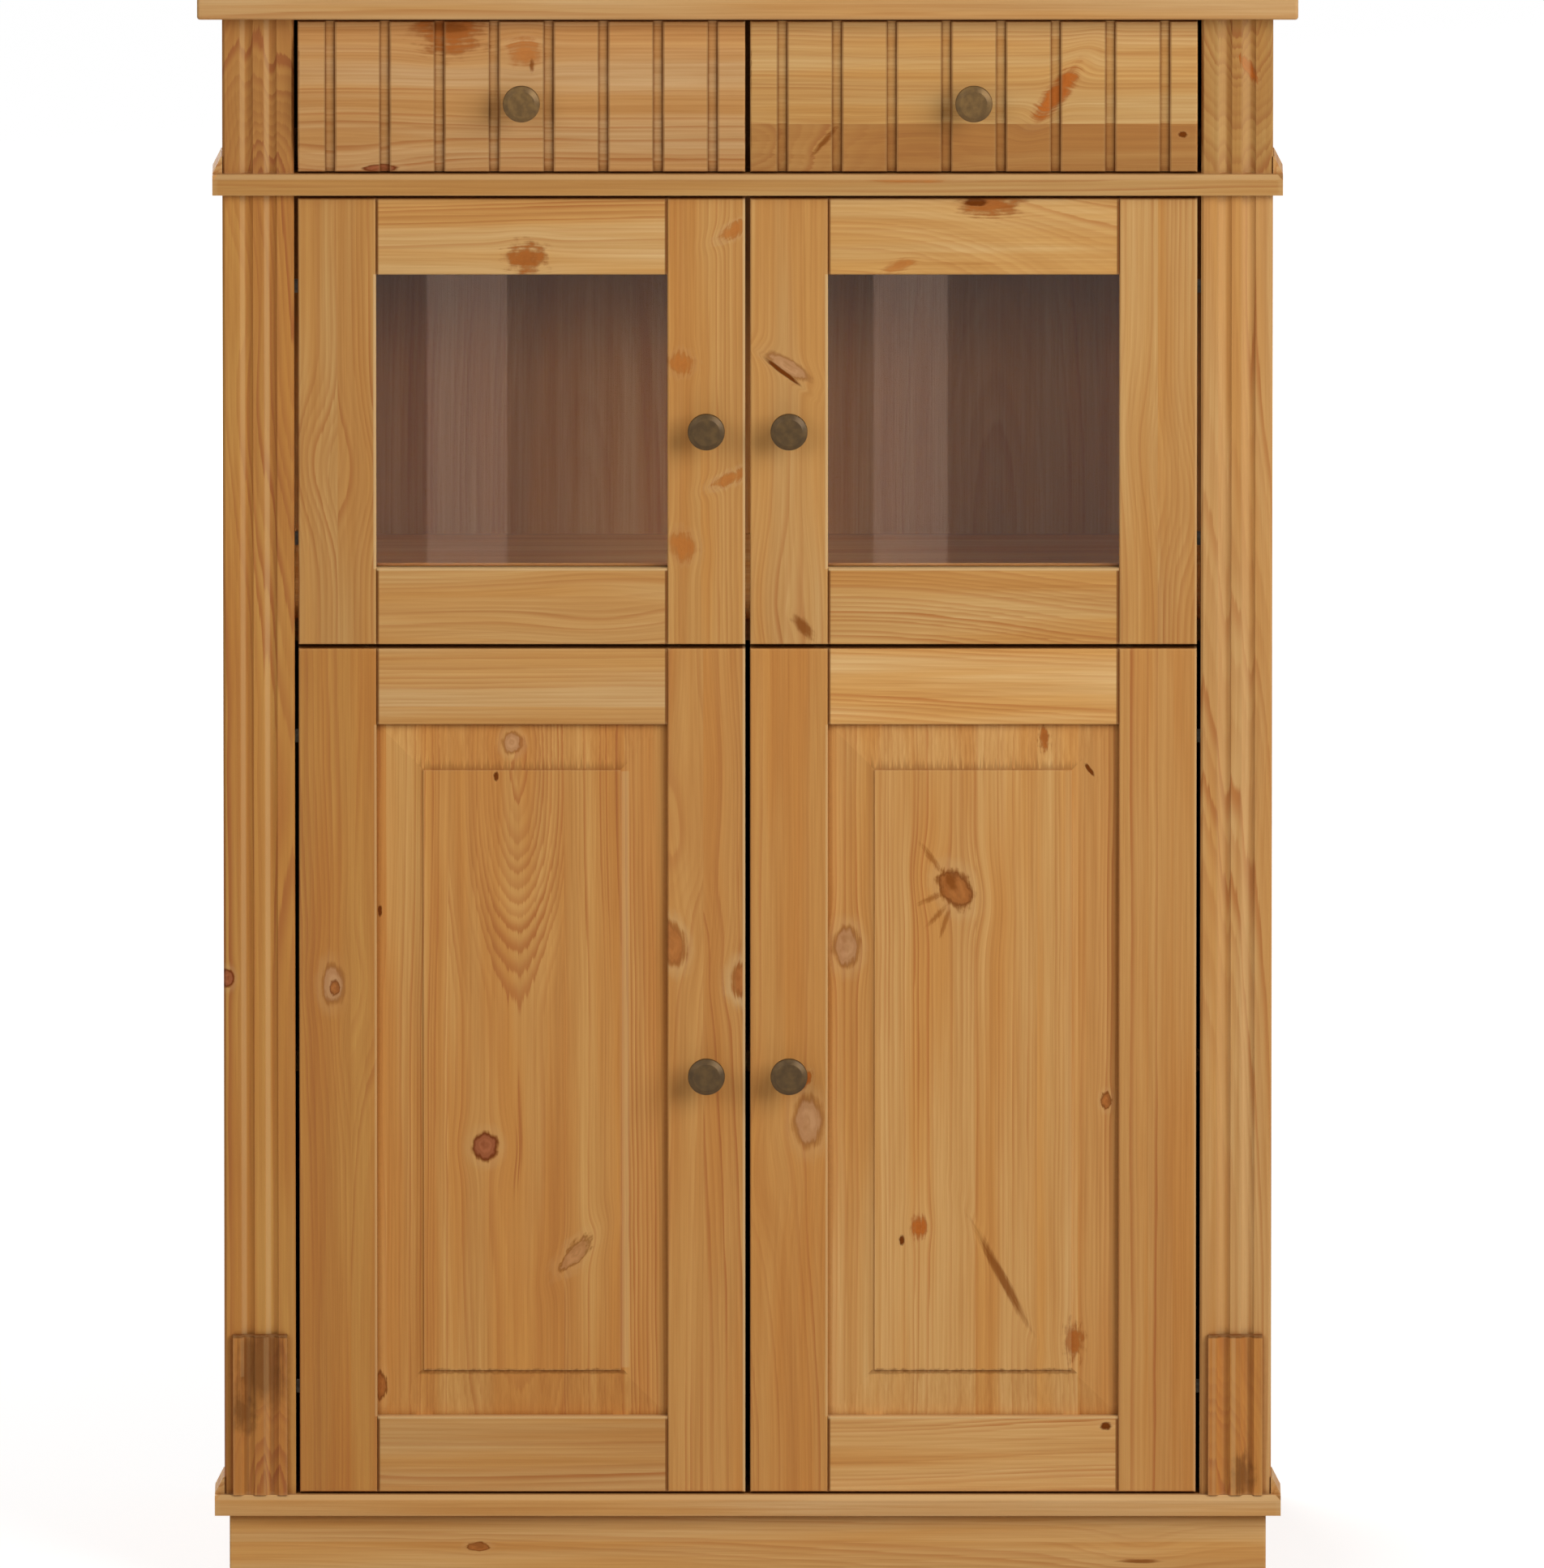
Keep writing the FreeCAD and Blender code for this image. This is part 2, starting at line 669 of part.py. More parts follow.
def knob(name, x, face, z):
    """A turned knob: stud, foot, neck and a bevelled head with a low dome."""
    head = "knob_neck_height + knob_foot_height"
    rim = "knob_projection - knob_dome_height"
    profile = [
        ("0", "-knob_stud_length"),
        ("knob_stud_radius", "-knob_stud_length"),
        ("knob_stud_radius", "0"),
        ("knob_foot_radius", "0"),
        ("knob_neck_radius", "knob_foot_height"),
        ("knob_neck_radius", head),
        ("knob_radius", f"{rim} - knob_rim_height"),
        ("knob_radius", rim),
        ("knob_radius - knob_rim_bevel", "knob_projection"),
        ("0", "knob_projection"),
    ]
    body = doc.addObject("PartDesign::Body", f"{name}_body")
    turned = body.newObject("PartDesign::Revolution", f"{name}_turned")
    sketch = outline(body, "XZ_Plane", profile)
    turned.Profile = sketch
    turned.ReferenceAxis = (sketch, ["V_Axis"])
    turned.Angle = 360
    doc.recompute()
    rounded = body.newObject("PartDesign::Fillet", f"{name}_rounded")
    rims = [f"Edge{number}" for number, edge in enumerate(turned.Shape.Edges, start=1)
            if edge.BoundBox.ZLength < NEAR and edge.BoundBox.ZMin > value(f"{rim} - knob_rim_height") - NEAR]
    rounded.Base = (turned, rims)
    rounded.setExpression("Radius", bound("knob_edge_round"))
    body.Tip = rounded
    locate(body, (x, face, z), "front")
    keep(body, name)


def knob_hole(name, x, face, z):
    return rod(name, "y", (x, face, z), "knob_stud_radius + screw_clearance",
               "knob_stud_length + screw_clearance")


# Doors

def door_knob_height(tier):
    drop = " - upper_knob_drop" if tier == "upper" else ""
    return f"({tier}_door_low + {tier}_door_high) / 2{drop}"


def door_stiles(side, tier):
    """The upright members: grooved along the sight edge, the outer one bored for the hinge cups."""
    low, high = f"{tier}_door_low", f"{tier}_door_high"
    thick = ("front_face", "door_back")
    name = f"{tier}_{side}_door"
    pane = (f"{low} + rail_width - groove_depth", f"{high} - rail_width + groove_depth")
    members = {
        "outer": (("sight_outer", "door_outer"), ("sight_outer", "sight_outer + groove_depth")),
        "inner": (("door_inner", "sight_inner"), ("sight_inner - groove_depth", "sight_inner")),
    }
    for member, (reach, groove) in members.items():
        label = f"{name}_{member}_stile"
        board = box(f"{label}_blank", across(side, *reach), thick, (low, high))
        tools = [box(f"{label}_groove", across(side, *groove), ("groove_front", "groove_back"), (low, high))]
        if tier == "upper":
            tools.append(box(f"{label}_rebate", across(side, *groove), ("groove_back", "door_back"), pane))
        if member == "inner":
            spot = (mirrored(side, "knob_x"), "front_face", door_knob_height(tier))
            tools.append(knob_hole(f"{label}_knob_hole", *spot))
        else:
            for end, height in enumerate(door_hinge_heights(tier)):
                place = (mirrored(side, "pin_x"), "door_back - hinge_cup_depth", height)
                tools.append(rod(f"{label}_cup_{end}", "y", place, "hinge_cup_radius + screw_clearance",
                                 "hinge_cup_depth"))
        keep(eased(f"{label}_eased", cut(f"{label}_cut", board, tools)), label)


def door_rails(side, tier):
    """The cross members, with stub tenons in the stiles' grooves."""
    low, high = f"{tier}_door_low", f"{tier}_door_high"
    name = f"{tier}_{side}_door_rails"
    tenon = ("groove_front + joint_clearance", "groove_back - joint_clearance")
    reach = "groove_depth - joint_clearance"
    sill, head = f"{low} + rail_width", f"{high} - rail_width"
    ends = {
        "bottom": ((low, sill), (f"{sill} - groove_depth", sill)),
        "top": ((head, high), (head, f"{head} + groove_depth")),
    }
    sight = across(side, "sight_inner", "sight_outer")
    inner_end = across(side, f"sight_inner - ({reach})", "sight_inner")
    outer_end = across(side, "sight_outer", f"sight_outer + {reach}")
    rails = []
    for end, (z, groove) in ends.items():
        label = f"{name}_{end}"
        board = box(f"{label}_blank", sight, ("front_face", "door_back"), z)
        depth = "door_back" if tier == "upper" else "groove_back"
        channel = box(f"{label}_groove", sight, ("groove_front", depth), groove)
        shaped = eased(f"{label}_eased", cut(f"{label}_cut", board, [channel]))
        tongue_z = (z[0], groove[0]) if end == "bottom" else (groove[1], z[1])
        tongues = [
            box(f"{label}_inner_tenon", inner_end, tenon, tongue_z),
            box(f"{label}_outer_tenon", outer_end, tenon, tongue_z),
        ]
        rails.append(fuse(label, [shaped] + tongues))
    keep(group(f"{name}_pair", rails), name)


def raised_panel(side):
    """A panel whose tongue sits in the frame's groove, with a bevel all round up to a flat field."""
    name = f"lower_{side}_door_panel"
    slack = "groove_depth - panel_clearance"
    low, high = "lower_door_low + rail_width", "lower_door_high - rail_width"
    front = "groove_front + joint_clearance"
    back = "groove_back - joint_clearance"
    plate = box(f"{name}_plate", across(side, f"sight_inner - ({slack})", f"sight_outer + {slack}"),
                (front, back), (f"{low} - ({slack})", f"{high} + {slack}"))
    sight = (across(side, "sight_inner", "sight_outer"), front, (low, high))
    field_x = across(side, "sight_inner + panel_bevel_width", "sight_outer - panel_bevel_width")
    field_z = (f"{low} + panel_bevel_width", f"{high} - panel_bevel_width")
    bevel = taper(f"{name}_bevel", (field_x, f"{front} - panel_bevel_rise", field_z), sight)
    field = box(f"{name}_field", field_x,
                (f"{front} - panel_bevel_rise - panel_field_step", front), field_z)
    keep(fuse(f"{name}_whole", [plate, bevel, field]), name)


def glazing(side):
    """A pane in the rebate, and four beads behind it."""
    name = f"upper_{side}_door"
    low, high = "upper_door_low + rail_width", "upper_door_high - rail_width"
    slack = "groove_depth - panel_clearance"
    pane_back = "groove_front + glass_thickness"
    keep(box(f"{name}_pane", across(side, f"sight_inner - ({slack})", f"sight_outer + {slack}"),
             ("groove_front", pane_back), (f"{low} - ({slack})", f"{high} + {slack}")), f"{name}_glass")
    depth = (pane_back, "door_back")
    beads = []
    for end, z in (("bottom", (f"{low} - groove_depth", low)), ("top", (high, f"{high} + groove_depth"))):
        beads.append(box(f"{name}_{end}_bead",
                         across(side, "sight_inner - groove_depth", "sight_outer + groove_depth"), depth, z))
    for end, x in (("inner", ("sight_inner - groove_depth", "sight_inner")),
                   ("outer", ("sight_outer", "sight_outer + groove_depth"))):
        beads.append(box(f"{name}_{end}_bead", across(side, *x), depth, (low, high)))
    keep(group(f"{name}_beads", beads), f"{name}_glazing_beads")


def door(side, tier):
    door_stiles(side, tier)
    door_rails(side, tier)
    if tier == "upper":
        glazing(side)
    else:
        raised_panel(side)
    hinge_cups(side, tier)
    knob(f"{tier}_{side}_door_knob", mirrored(side, "knob_x"), "front_face", door_knob_height(tier))


# Drawers

def bow(name, side, shrink):
    """The round bar whose front gives a drawer front its bow, or the floor of its grooves."""
    start = across(side, "door_inner", "door_outer")
    axis = (start[0], "bow_front + bow_radius", "(drawer_low + drawer_high) / 2")
    return rod(name, "x", axis, f"bow_radius - {shrink}", "door_outer - door_inner")


def drawer_front(side):
    """A bowed front with upright grooves of even depth."""
    name = f"{side}_drawer_front"
    high = ("drawer_low", "drawer_high")
    bowed = doc.addObject("Part::Common", f"{name}_bowed")
    reach = across(side, "door_inner", "door_outer")
    bowed.Base = box(f"{name}_blank", reach, ("bow_front", "drawer_back"), high)
    bowed.Tool = bow(f"{name}_bow", side, "0")
    blank = soften("Part::Fillet", f"{name}_eased", bowed, "edge_round", round_the_bow)
    strips = []
    for number in range(FRONT_GROOVES):
        offset = f"{number - (FRONT_GROOVES - 1) / 2} * front_groove_pitch"
        middle = f"({mirrored(side, 'drawer_middle')} + {offset})"
        strips.append(box(f"{name}_groove_{number}",
                          (f"{middle} - front_groove_width / 2", f"{middle} + front_groove_width / 2"),
                          ("bow_front", "drawer_back"), high))
    floor = bow(f"{name}_floor", side, "front_groove_depth")
    grooves = cut(f"{name}_grooves", fuse(f"{name}_strips", strips), [floor])
    seat = across(side, "box_inner + drawer_side_thickness - drawer_groove_depth",
                  "box_outer - drawer_side_thickness + drawer_groove_depth")
    slot = box(f"{name}_slot", seat, ("drawer_back - drawer_groove_depth", "drawer_back"),
               ("box_floor", "box_floor_top"))
    spot = (mirrored(side, "drawer_middle"), "bow_front", "(drawer_low + drawer_high) / 2")
    keep(cut(f"{name}_cut", blank, [grooves, slot, knob_hole(f"{name}_knob_hole", *spot)]), name)
    knob(f"{side}_drawer_knob", *spot)


def drawer_box(side):
    """Two grooved sides and a back that stands on the bottom."""
    name = f"{side}_drawer"
    long = ("drawer_back", "box_end")
    members = []
    for member, x, groove in (
        ("inner", ("box_inner", "box_inner + drawer_side_thickness"),
         ("box_inner + drawer_side_thickness - drawer_groove_depth", "box_inner + drawer_side_thickness")),
        ("outer", ("box_outer - drawer_side_thickness", "box_outer"),
         ("box_outer - drawer_side_thickness", "box_outer - drawer_side_thickness + drawer_groove_depth")),
    ):
        board = box(f"{name}_{member}_blank", across(side, *x), long, ("box_low", "box_high"))
        slot = box(f"{name}_{member}_slot", across(side, *groove), long, ("box_floor", "box_floor_top"))
        members.append(cut(f"{name}_{member}_side", board, [slot]))
    between = across(side, "box_inner + drawer_side_thickness", "box_outer - drawer_side_thickness")
    members.append(box(f"{name}_rear", between, ("box_end - drawer_side_thickness", "box_end"),
                       ("box_floor_top", "box_high - drawer_back_drop")))
    keep(group(f"{name}_members", members), f"{name}_box")
    floor = across(side, "box_inner + drawer_side_thickness - drawer_groove_depth + joint_clearance",
                   "box_outer - drawer_side_thickness + drawer_groove_depth - joint_clearance")
    keep(box(f"{name}_floor", floor, ("drawer_back - drawer_groove_depth + joint_clearance", "box_end"),
             ("box_floor", "box_floor_top")), f"{name}_bottom")


# The whole

top_board()
for side in SIDES:
    side_panel(side)
    post(side, "lower", ("bottom_top", "deck_low"), hinge_screw_holes(side))
    post(side, "upper", ("deck_high", "top_low"), [])
base_blocks()
deck("bottom_panel", ("plinth_height", "bottom_top"))
deck("drawer_deck", ("deck_low", "deck_high"))
fixed_shelf()
adjustable_shelf()
back()
moulding_front("base_moulding_front", ("plinth_height", "bottom_top"))
moulding_front("waist_moulding_front", ("deck_low", "deck_high"))
moulding_returns()
plinth()
drawer_bay()
hinges()
for side in SIDES:
    for tier in ("lower", "upper"):
        door(side, tier)
    drawer_front(side)
    drawer_box(side)
doc.recompute()

# Every object is sound before anything is written

for item in doc.Objects:
    if "Invalid" in item.State or "Error" in item.State:
        raise RuntimeError(f"{item.Name} failed: {item.State}")
for name, item in parts.items():
    if item.Shape.isNull() or not item.Shape.isValid() or not item.Shape.Solids:
        raise RuntimeError(f"{name} is not a sound solid")

os.makedirs("parts", exist_ok=True)
for name, item in parts.items():
    item.Shape.exportStep(f"parts/{name}.step")
    print(name, len(item.Shape.Solids), round(item.Shape.Volume))
print(len(parts), "sub-parts")
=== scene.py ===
import math
import random
from dataclasses import dataclass
from typing import NamedTuple

import bpy
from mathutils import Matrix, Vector


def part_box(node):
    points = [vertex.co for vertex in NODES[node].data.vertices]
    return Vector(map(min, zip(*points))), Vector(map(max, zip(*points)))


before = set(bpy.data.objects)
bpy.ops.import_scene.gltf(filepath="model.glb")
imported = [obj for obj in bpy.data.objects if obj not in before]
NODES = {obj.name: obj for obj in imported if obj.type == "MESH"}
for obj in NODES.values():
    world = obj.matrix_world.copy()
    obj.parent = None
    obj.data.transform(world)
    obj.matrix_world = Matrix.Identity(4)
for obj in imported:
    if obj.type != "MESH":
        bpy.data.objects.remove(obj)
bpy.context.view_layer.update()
SCENE = bpy.context.scene
SCENE.view_settings.view_transform = "Standard"


# Picture frame and viewpoint: from the front, a little above, through a long lens.
IMAGE_HEIGHT = 1933
METRES_PER_PIXEL = 0.0006573
VIEW_PITCH = math.radians(12)
VIEW_DISTANCE = 50.0
SENSOR_SIZE = 36.0
AIM_RIGHT = 0.0197
AIM_HEIGHT = 0.671
NEAR_CLIP = 1.0
FAR_CLIP = 200.0

# Floor and light, in metres, watts and plain brightness. The floor glows more, away from the part.
WHITE = (1, 1, 1, 1)
FLOOR_REACH = 30.0
FLOOR_COLOUR = (0.5, 0.5, 0.5, 1)
FLOOR_ROUGHNESS = 0.9
FLOOR_GLOW = 0.7
FAR_GLOW = 0.87
GLOW_GROWS = (2.0, 5.0)
AMBIENT = 0.22
LIGHT_AIM = (0, -0.1, 0.75)
SOFTBOXES = {
    "key_light": {"place": (3.0, -3.2, 2.7), "size": (3.0, 3.0), "power": 133},
    "fill_light": {"place": (-2.4, -4.0, 2.6), "size": (2.6, 2.6), "power": 42},
    "back_light": {"place": (-1.8, 4.2, 2.6), "size": (3.0, 3.0), "power": 150},
}

# Two strip lights in front of the panes, given by the left and right edges of their reflections.
PANE_STRIPS = {"left_strip": (-0.260, -0.195), "right_strip": (0.102, 0.162)}
STRIP_DISTANCE = 3.2
STRIP_LENGTH = 0.5
STRIP_POWER = 0.23
STRIP_COLOUR = (1, 0.7, 0.54)


def srgb(red, green, blue):
    """A colour given as 0 to 255 on a screen, as linear light."""

    def linear(level):
        level = level / 255
        return level / 12.92 if level <= 0.04045 else ((level + 0.055) / 1.055) ** 2.4

    return (linear(red), linear(green), linear(blue), 1)


def scaled(colour, red, green, blue):
    return (colour[0] * red, colour[1] * green, colour[2] * blue, 1)


def lightened(colour, share):
    return scaled(colour, share, share, share)


def make_camera():
    data = bpy.data.cameras.new("camera")
    data.sensor_width = SENSOR_SIZE
    data.lens = SENSOR_SIZE * VIEW_DISTANCE / (IMAGE_HEIGHT * METRES_PER_PIXEL)
    data.clip_start = NEAR_CLIP
    data.clip_end = FAR_CLIP
    camera = bpy.data.objects.new("camera", data)
    door_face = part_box("lower_left_door_rails")[0].y
    aim = Vector((AIM_RIGHT, door_face, AIM_HEIGHT))
    away = Vector((0, -math.cos(VIEW_PITCH), math.sin(VIEW_PITCH)))
    camera.location = aim + VIEW_DISTANCE * away
    camera.rotation_euler = (math.pi / 2 - VIEW_PITCH, 0, 0)
    SCENE.collection.objects.link(camera)
    SCENE.camera = camera


def add_area_light(name, place, aim, width, height, power):
    data = bpy.data.lights.new(name, "AREA")
    data.shape = "RECTANGLE"
    data.size = width
    data.size_y = height
    data.energy = power
    light = bpy.data.objects.new(name, data)
    light.location = place
    light.rotation_euler = (Vector(aim) - Vector(place)).to_track_quat("-Z", "Y").to_euler()
    light.visible_camera = False
    SCENE.collection.objects.link(light)
    return light


def light_the_stage():
    for name, box in SOFTBOXES.items():
        add_area_light(name, box["place"], LIGHT_AIM, *box["size"], box["power"])
    low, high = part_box("upper_left_door_glass")
    drop = STRIP_DISTANCE * math.tan(VIEW_PITCH)
    height = (low.z + high.z) / 2 - drop
    spread = (VIEW_DISTANCE + STRIP_DISTANCE) / VIEW_DISTANCE
    for name, (left, right) in PANE_STRIPS.items():
        middle = AIM_RIGHT + ((left + right) / 2 - AIM_RIGHT) * spread
        width = (right - left) * spread
        place = (middle, low.y - STRIP_DISTANCE, height)
        aim = (middle, 0, height)
        light = add_area_light(name, place, aim, width, STRIP_LENGTH, STRIP_POWER)
        light.data.color = STRIP_COLOUR


class Signal:
    """A number or colour that varies over a surface: one node's output. Arithmetic on it adds Math
    nodes."""

    def __init__(self, tree, socket):
        self.tree = tree
        self.socket = socket

    def math(self, operation, *others):
        node = self.tree.nodes.new("ShaderNodeMath")
        node.operation = operation
        for slot, value in zip(node.inputs, (self,) + others):
            feed(slot, value)
        return Signal(self.tree, node.outputs[0])

    def __add__(self, other):
        return self.math("ADD", other)

    def __sub__(self, other):
        return self.math("SUBTRACT", other)

    def __mul__(self, other):
        return self.math("MULTIPLY", other)

    def __truediv__(self, other):
        return self.math("DIVIDE", other)

    def squared(self):
        return self.math("MULTIPLY", self)

    def root(self):
        return self.math("SQRT")

    def above(self, edge):
        return self.math("GREATER_THAN", edge)

    def below(self, edge):
        return self.math("LESS_THAN", edge)

    def size(self):
        return self.math("ABSOLUTE")

    def larger(self, other):
        return self.math("MAXIMUM", other)

    def smaller(self, other):
        return self.math("MINIMUM", other)

    def taken_from(self, number):
        return self * -1 + number

    def constant(self, value):
        """The same value all over the surface, as a signal."""
        return self * 0 + value

    def ramp(self, start, end, low=0.0, high=1.0):
        """Goes smoothly from low at start to high at end, and stays there."""
        node = self.tree.nodes.new("ShaderNodeMapRange")
        node.interpolation_type = "SMOOTHSTEP"
        values = (self, start, end, low, high)
        for name, value in zip(("Value", "From Min", "From Max", "To Min", "To Max"), values):
            feed(node.inputs[name], value)
        return Signal(self.tree, node.outputs["Result"])


def feed(slot, value):
    """Links a signal to a node's input, or sets a plain value there."""
    if isinstance(value, Signal):
        value.tree.links.new(value.socket, slot)
    else:
        slot.default_value = value


def vector(x, y, z):
    node = x.tree.nodes.new("ShaderNodeCombineXYZ")
    for slot, value in zip(node.inputs, (x, y, z)):
        feed(slot, value)
    return Signal(x.tree, node.outputs[0])


def noise(place, scale=1.0, detail=2.0, roughness=0.5):
    """Smooth noise about 0, from about -0.5 to 0.5."""
    node = place.tree.nodes.new("ShaderNodeTexNoise")
    feed(node.inputs["Vector"], place)
    node.inputs["Scale"].default_value = scale
    node.inputs["Detail"].default_value = detail
    node.inputs["Roughness"].default_value = roughness
    return Signal(place.tree, node.outputs["Fac"]) - 0.5


def line_noise(number, scale=1.0, detail=1.0):
    """Smooth noise about 0 along one number."""
    node = number.tree.nodes.new("ShaderNodeTexNoise")
    node.noise_dimensions = "1D"
    feed(node.inputs["W"], number)
    node.inputs["Scale"].default_value = scale
    node.inputs["Detail"].default_value = detail
    return Signal(number.tree, node.outputs["Fac"]) - 0.5


def chance(number):
    """A random number from 0 to 1 for each value of number."""
    node = number.tree.nodes.new("ShaderNodeTexWhiteNoise")
    node.noise_dimensions = "1D"
    feed(node.inputs["W"], number)
    return Signal(number.tree, node.outputs["Value"])


def mixed(amount, first, second, mode="MIX"):
    """first turned into second by amount, which is a signal."""
    node = amount.tree.nodes.new("ShaderNodeMix")
    node.data_type = "RGBA"
    node.blend_type = mode
    node.clamp_factor = True
    feed(node.inputs["Factor"], amount)
    colours = [slot for slot in node.inputs if slot.type == "RGBA"]
    feed(colours[0], first)
    feed(colours[1], second)
    result = [slot for slot in node.outputs if slot.type == "RGBA"][0]
    return Signal(amount.tree, result)


OCCLUSION_SAMPLES = 5


def crevices(tree, reach):
    """1 deep in corners and gaps narrower than reach, 0 on open faces."""
    node = tree.nodes.new("ShaderNodeAmbientOcclusion")
    node.samples = OCCLUSION_SAMPLES
    node.inputs["Distance"].default_value = reach
    return Signal(tree, node.outputs["AO"]).taken_from(1)


def convex_edges(tree, reach):
    """1 along outer edges, 0 away from them."""
    node = tree.nodes.new("ShaderNodeAmbientOcclusion")
    node.samples = OCCLUSION_SAMPLES
    node.inside = True
    node.only_local = True
    node.inputs["Distance"].default_value = reach
    return Signal(tree, node.outputs["AO"]).taken_from(1)


class Surface:
    """A new material with its node tree, its Principled shader and the place on the part as x, y
    and z signals."""

    def __init__(self, name):
        self.material = bpy.data.materials.new(name)
        self.material.use_nodes = True
        self.tree = self.material.node_tree
        self.shader = self.tree.nodes["Principled BSDF"]
        coordinates = self.tree.nodes.new("ShaderNodeTexCoord")
        split = self.tree.nodes.new("ShaderNodeSeparateXYZ")
        self.tree.links.new(coordinates.outputs["Object"], split.inputs[0])
        self.place = {letter: Signal(self.tree, split.outputs[letter.upper()]) for letter in "xyz"}

    def set(self, name, value):
        """Sets an input of the shader to a signal or a plain value."""
        feed(self.shader.inputs[name], value)

    def noise(self, scale, detail):
        return noise(vector(*self.place.values()), scale, detail)

    def bump(self, height, strength, distance):
        node = self.tree.nodes.new("ShaderNodeBump")
        node.inputs["Strength"].default_value = strength
        node.inputs["Distance"].default_value = distance
        feed(node.inputs["Height"], height)
        self.tree.links.new(node.outputs["Normal"], self.shader.inputs["Normal"])

    def show(self, shader):
        """Makes another shader node the one that the surface shows."""
        output = self.tree.nodes["Material Output"]
        self.tree.links.new(shader.outputs[0], output.inputs["Surface"])


# Tones of the waxed pine, as they look on a screen.
CREAM = srgb(222, 182, 126)
PALE = srgb(200, 152, 92)
STRAW = srgb(192, 140, 78)
HONEY = srgb(189, 129, 60)
AMBER = srgb(178, 118, 47)
RUSSET = srgb(165, 105, 43)
WALNUT = srgb(173, 104, 33)
DRAWER = srgb(190, 142, 88)
DARK_DRAWER = srgb(168, 114, 53)
VENEER = srgb(155, 111, 65)
FIBREBOARD = srgb(146, 112, 78)
# Dark glaze, also used as painted shade in corners, in grooves and round raised fields.
GLAZE_AND_SHADE = srgb(122, 68, 23)


@dataclass
class KnotKind:
    """What a knot looks like: its middle, its rim, how much they cover, how soft its edge is, how
    pale the ring round it is, how ragged it is, how far the grain goes round it, by how many rings
    the grain turns there, and how far its edge runs out along the fibres."""

    core: tuple
    rim: tuple
    cover: float
    soft: float = 0.15
    halo: float = 0.22
    ragged: float = 0.5
    push: float = 0.6
    swirl: float = 0.0
    feather: float = 0.3


KNOT_KINDS = {
    "red": KnotKind(srgb(180, 106, 68), srgb(116, 50, 14), 0.97),
    "pale": KnotKind(srgb(208, 156, 110), srgb(162, 104, 54), 0.85, soft=0.22, feather=0.6),
    "ghost": KnotKind(srgb(204, 146, 96), srgb(140, 84, 36), 0.7, ragged=1.4),
    "half": KnotKind(srgb(194, 120, 60), srgb(150, 82, 34), 0.84, soft=0.3, halo=0.6, feather=0.9),
    "brown": KnotKind(srgb(188, 114, 54), srgb(128, 66, 20), 0.9, ragged=0.8, feather=0.6),
    "dark": KnotKind(srgb(122, 60, 8), srgb(104, 47, 6), 1.0, soft=0.3, halo=0.1, ragged=0.8),
    "amber": KnotKind(
        srgb(198, 108, 38), srgb(168, 84, 26), 0.95,
        soft=0.45, halo=0.12, ragged=1.1, feather=1.6,
    ),
    "blush": KnotKind(
        srgb(198, 116, 46), srgb(176, 96, 34), 0.7,
        soft=0.6, halo=0.3, ragged=1.3, feather=1.8,
    ),
    "patch": KnotKind(
        srgb(180, 100, 36), srgb(150, 78, 24), 0.9,
        soft=0.55, halo=0, ragged=2.2, push=0.5, feather=2,
    ),
    "crack": KnotKind(
        srgb(138, 74, 21), srgb(138, 74, 21), 0.85,
        soft=0.5, halo=0.0, ragged=1.0, push=0.2, feather=0.8,
    ),
    "stain": KnotKind(
        srgb(112, 68, 32), srgb(120, 74, 34), 0.72,
        soft=0.6, halo=0.0, ragged=1.7, push=0.0, feather=1.5,
    ),
    "ray": KnotKind(
        srgb(156, 88, 30), srgb(156, 88, 30), 0.7,
        soft=0.6, halo=0.0, ragged=1.4, push=0.0, feather=1.4,
    ),
    "swirl": KnotKind(AMBER, AMBER, 0.0, halo=0.0, push=0.5, swirl=1.8),
    "eye": KnotKind(AMBER, AMBER, 0.0, halo=0.0, push=0.2, swirl=3.0),
}


@dataclass
class Knot:
    """A knot, stain or swirl: where it is, half its width, how long it is for that, its tilt, its
    reach, and how deep it goes, where 0 is through the whole board."""

    kind: KnotKind
    size: float
    place: dict
    stretch: float
    tilt: float
    reach: float
    deep: float


def knot(kind, size, stretch=1.3, tilt=0.0, reach=1.5, deep=0.0, **place):
    return Knot(KNOT_KINDS[kind], size, place, stretch, math.radians(tilt), reach, deep)


class Rise(NamedTuple):
    """How deep the tree's heart lies under the face, from one place along the grain to another."""

    start: float
    end: float
    first: float
    last: float


class Strip(NamedTuple):
    """A glued strip: where it begins across the grain, where the heart lies, and its tone for the
    board's."""

    edge: float
    heart: float
    tone: float


class Turn(NamedTuple):
    """Where the grain turns: between two places on an axis, and the letters of the grain there."""

    letter: str
    low: float
    high: float
    axes: str


class Joint(NamedTuple):
    """A dark line at a place on an axis, and how dark it is."""

    letter: str
    at: float
    dark: float


class Grooves(NamedTuple):
    """Upright grooves: the middle of one, their pitch and half their width."""

    middle: float
    pitch: float
    half: float


class Field(NamedTuple):
    """The edges of a panel's raised field."""

    left: float
    right: float
    low: float
    high: float


class Highlight(NamedTuple):
    """A painted highlight along an edge that faces the light: its place on an axis, how wide and
    how pale it is, and its ends on another axis."""

    letter: str
    at: float
    wide: float
    pale: float
    other: str
    low: float
    high: float


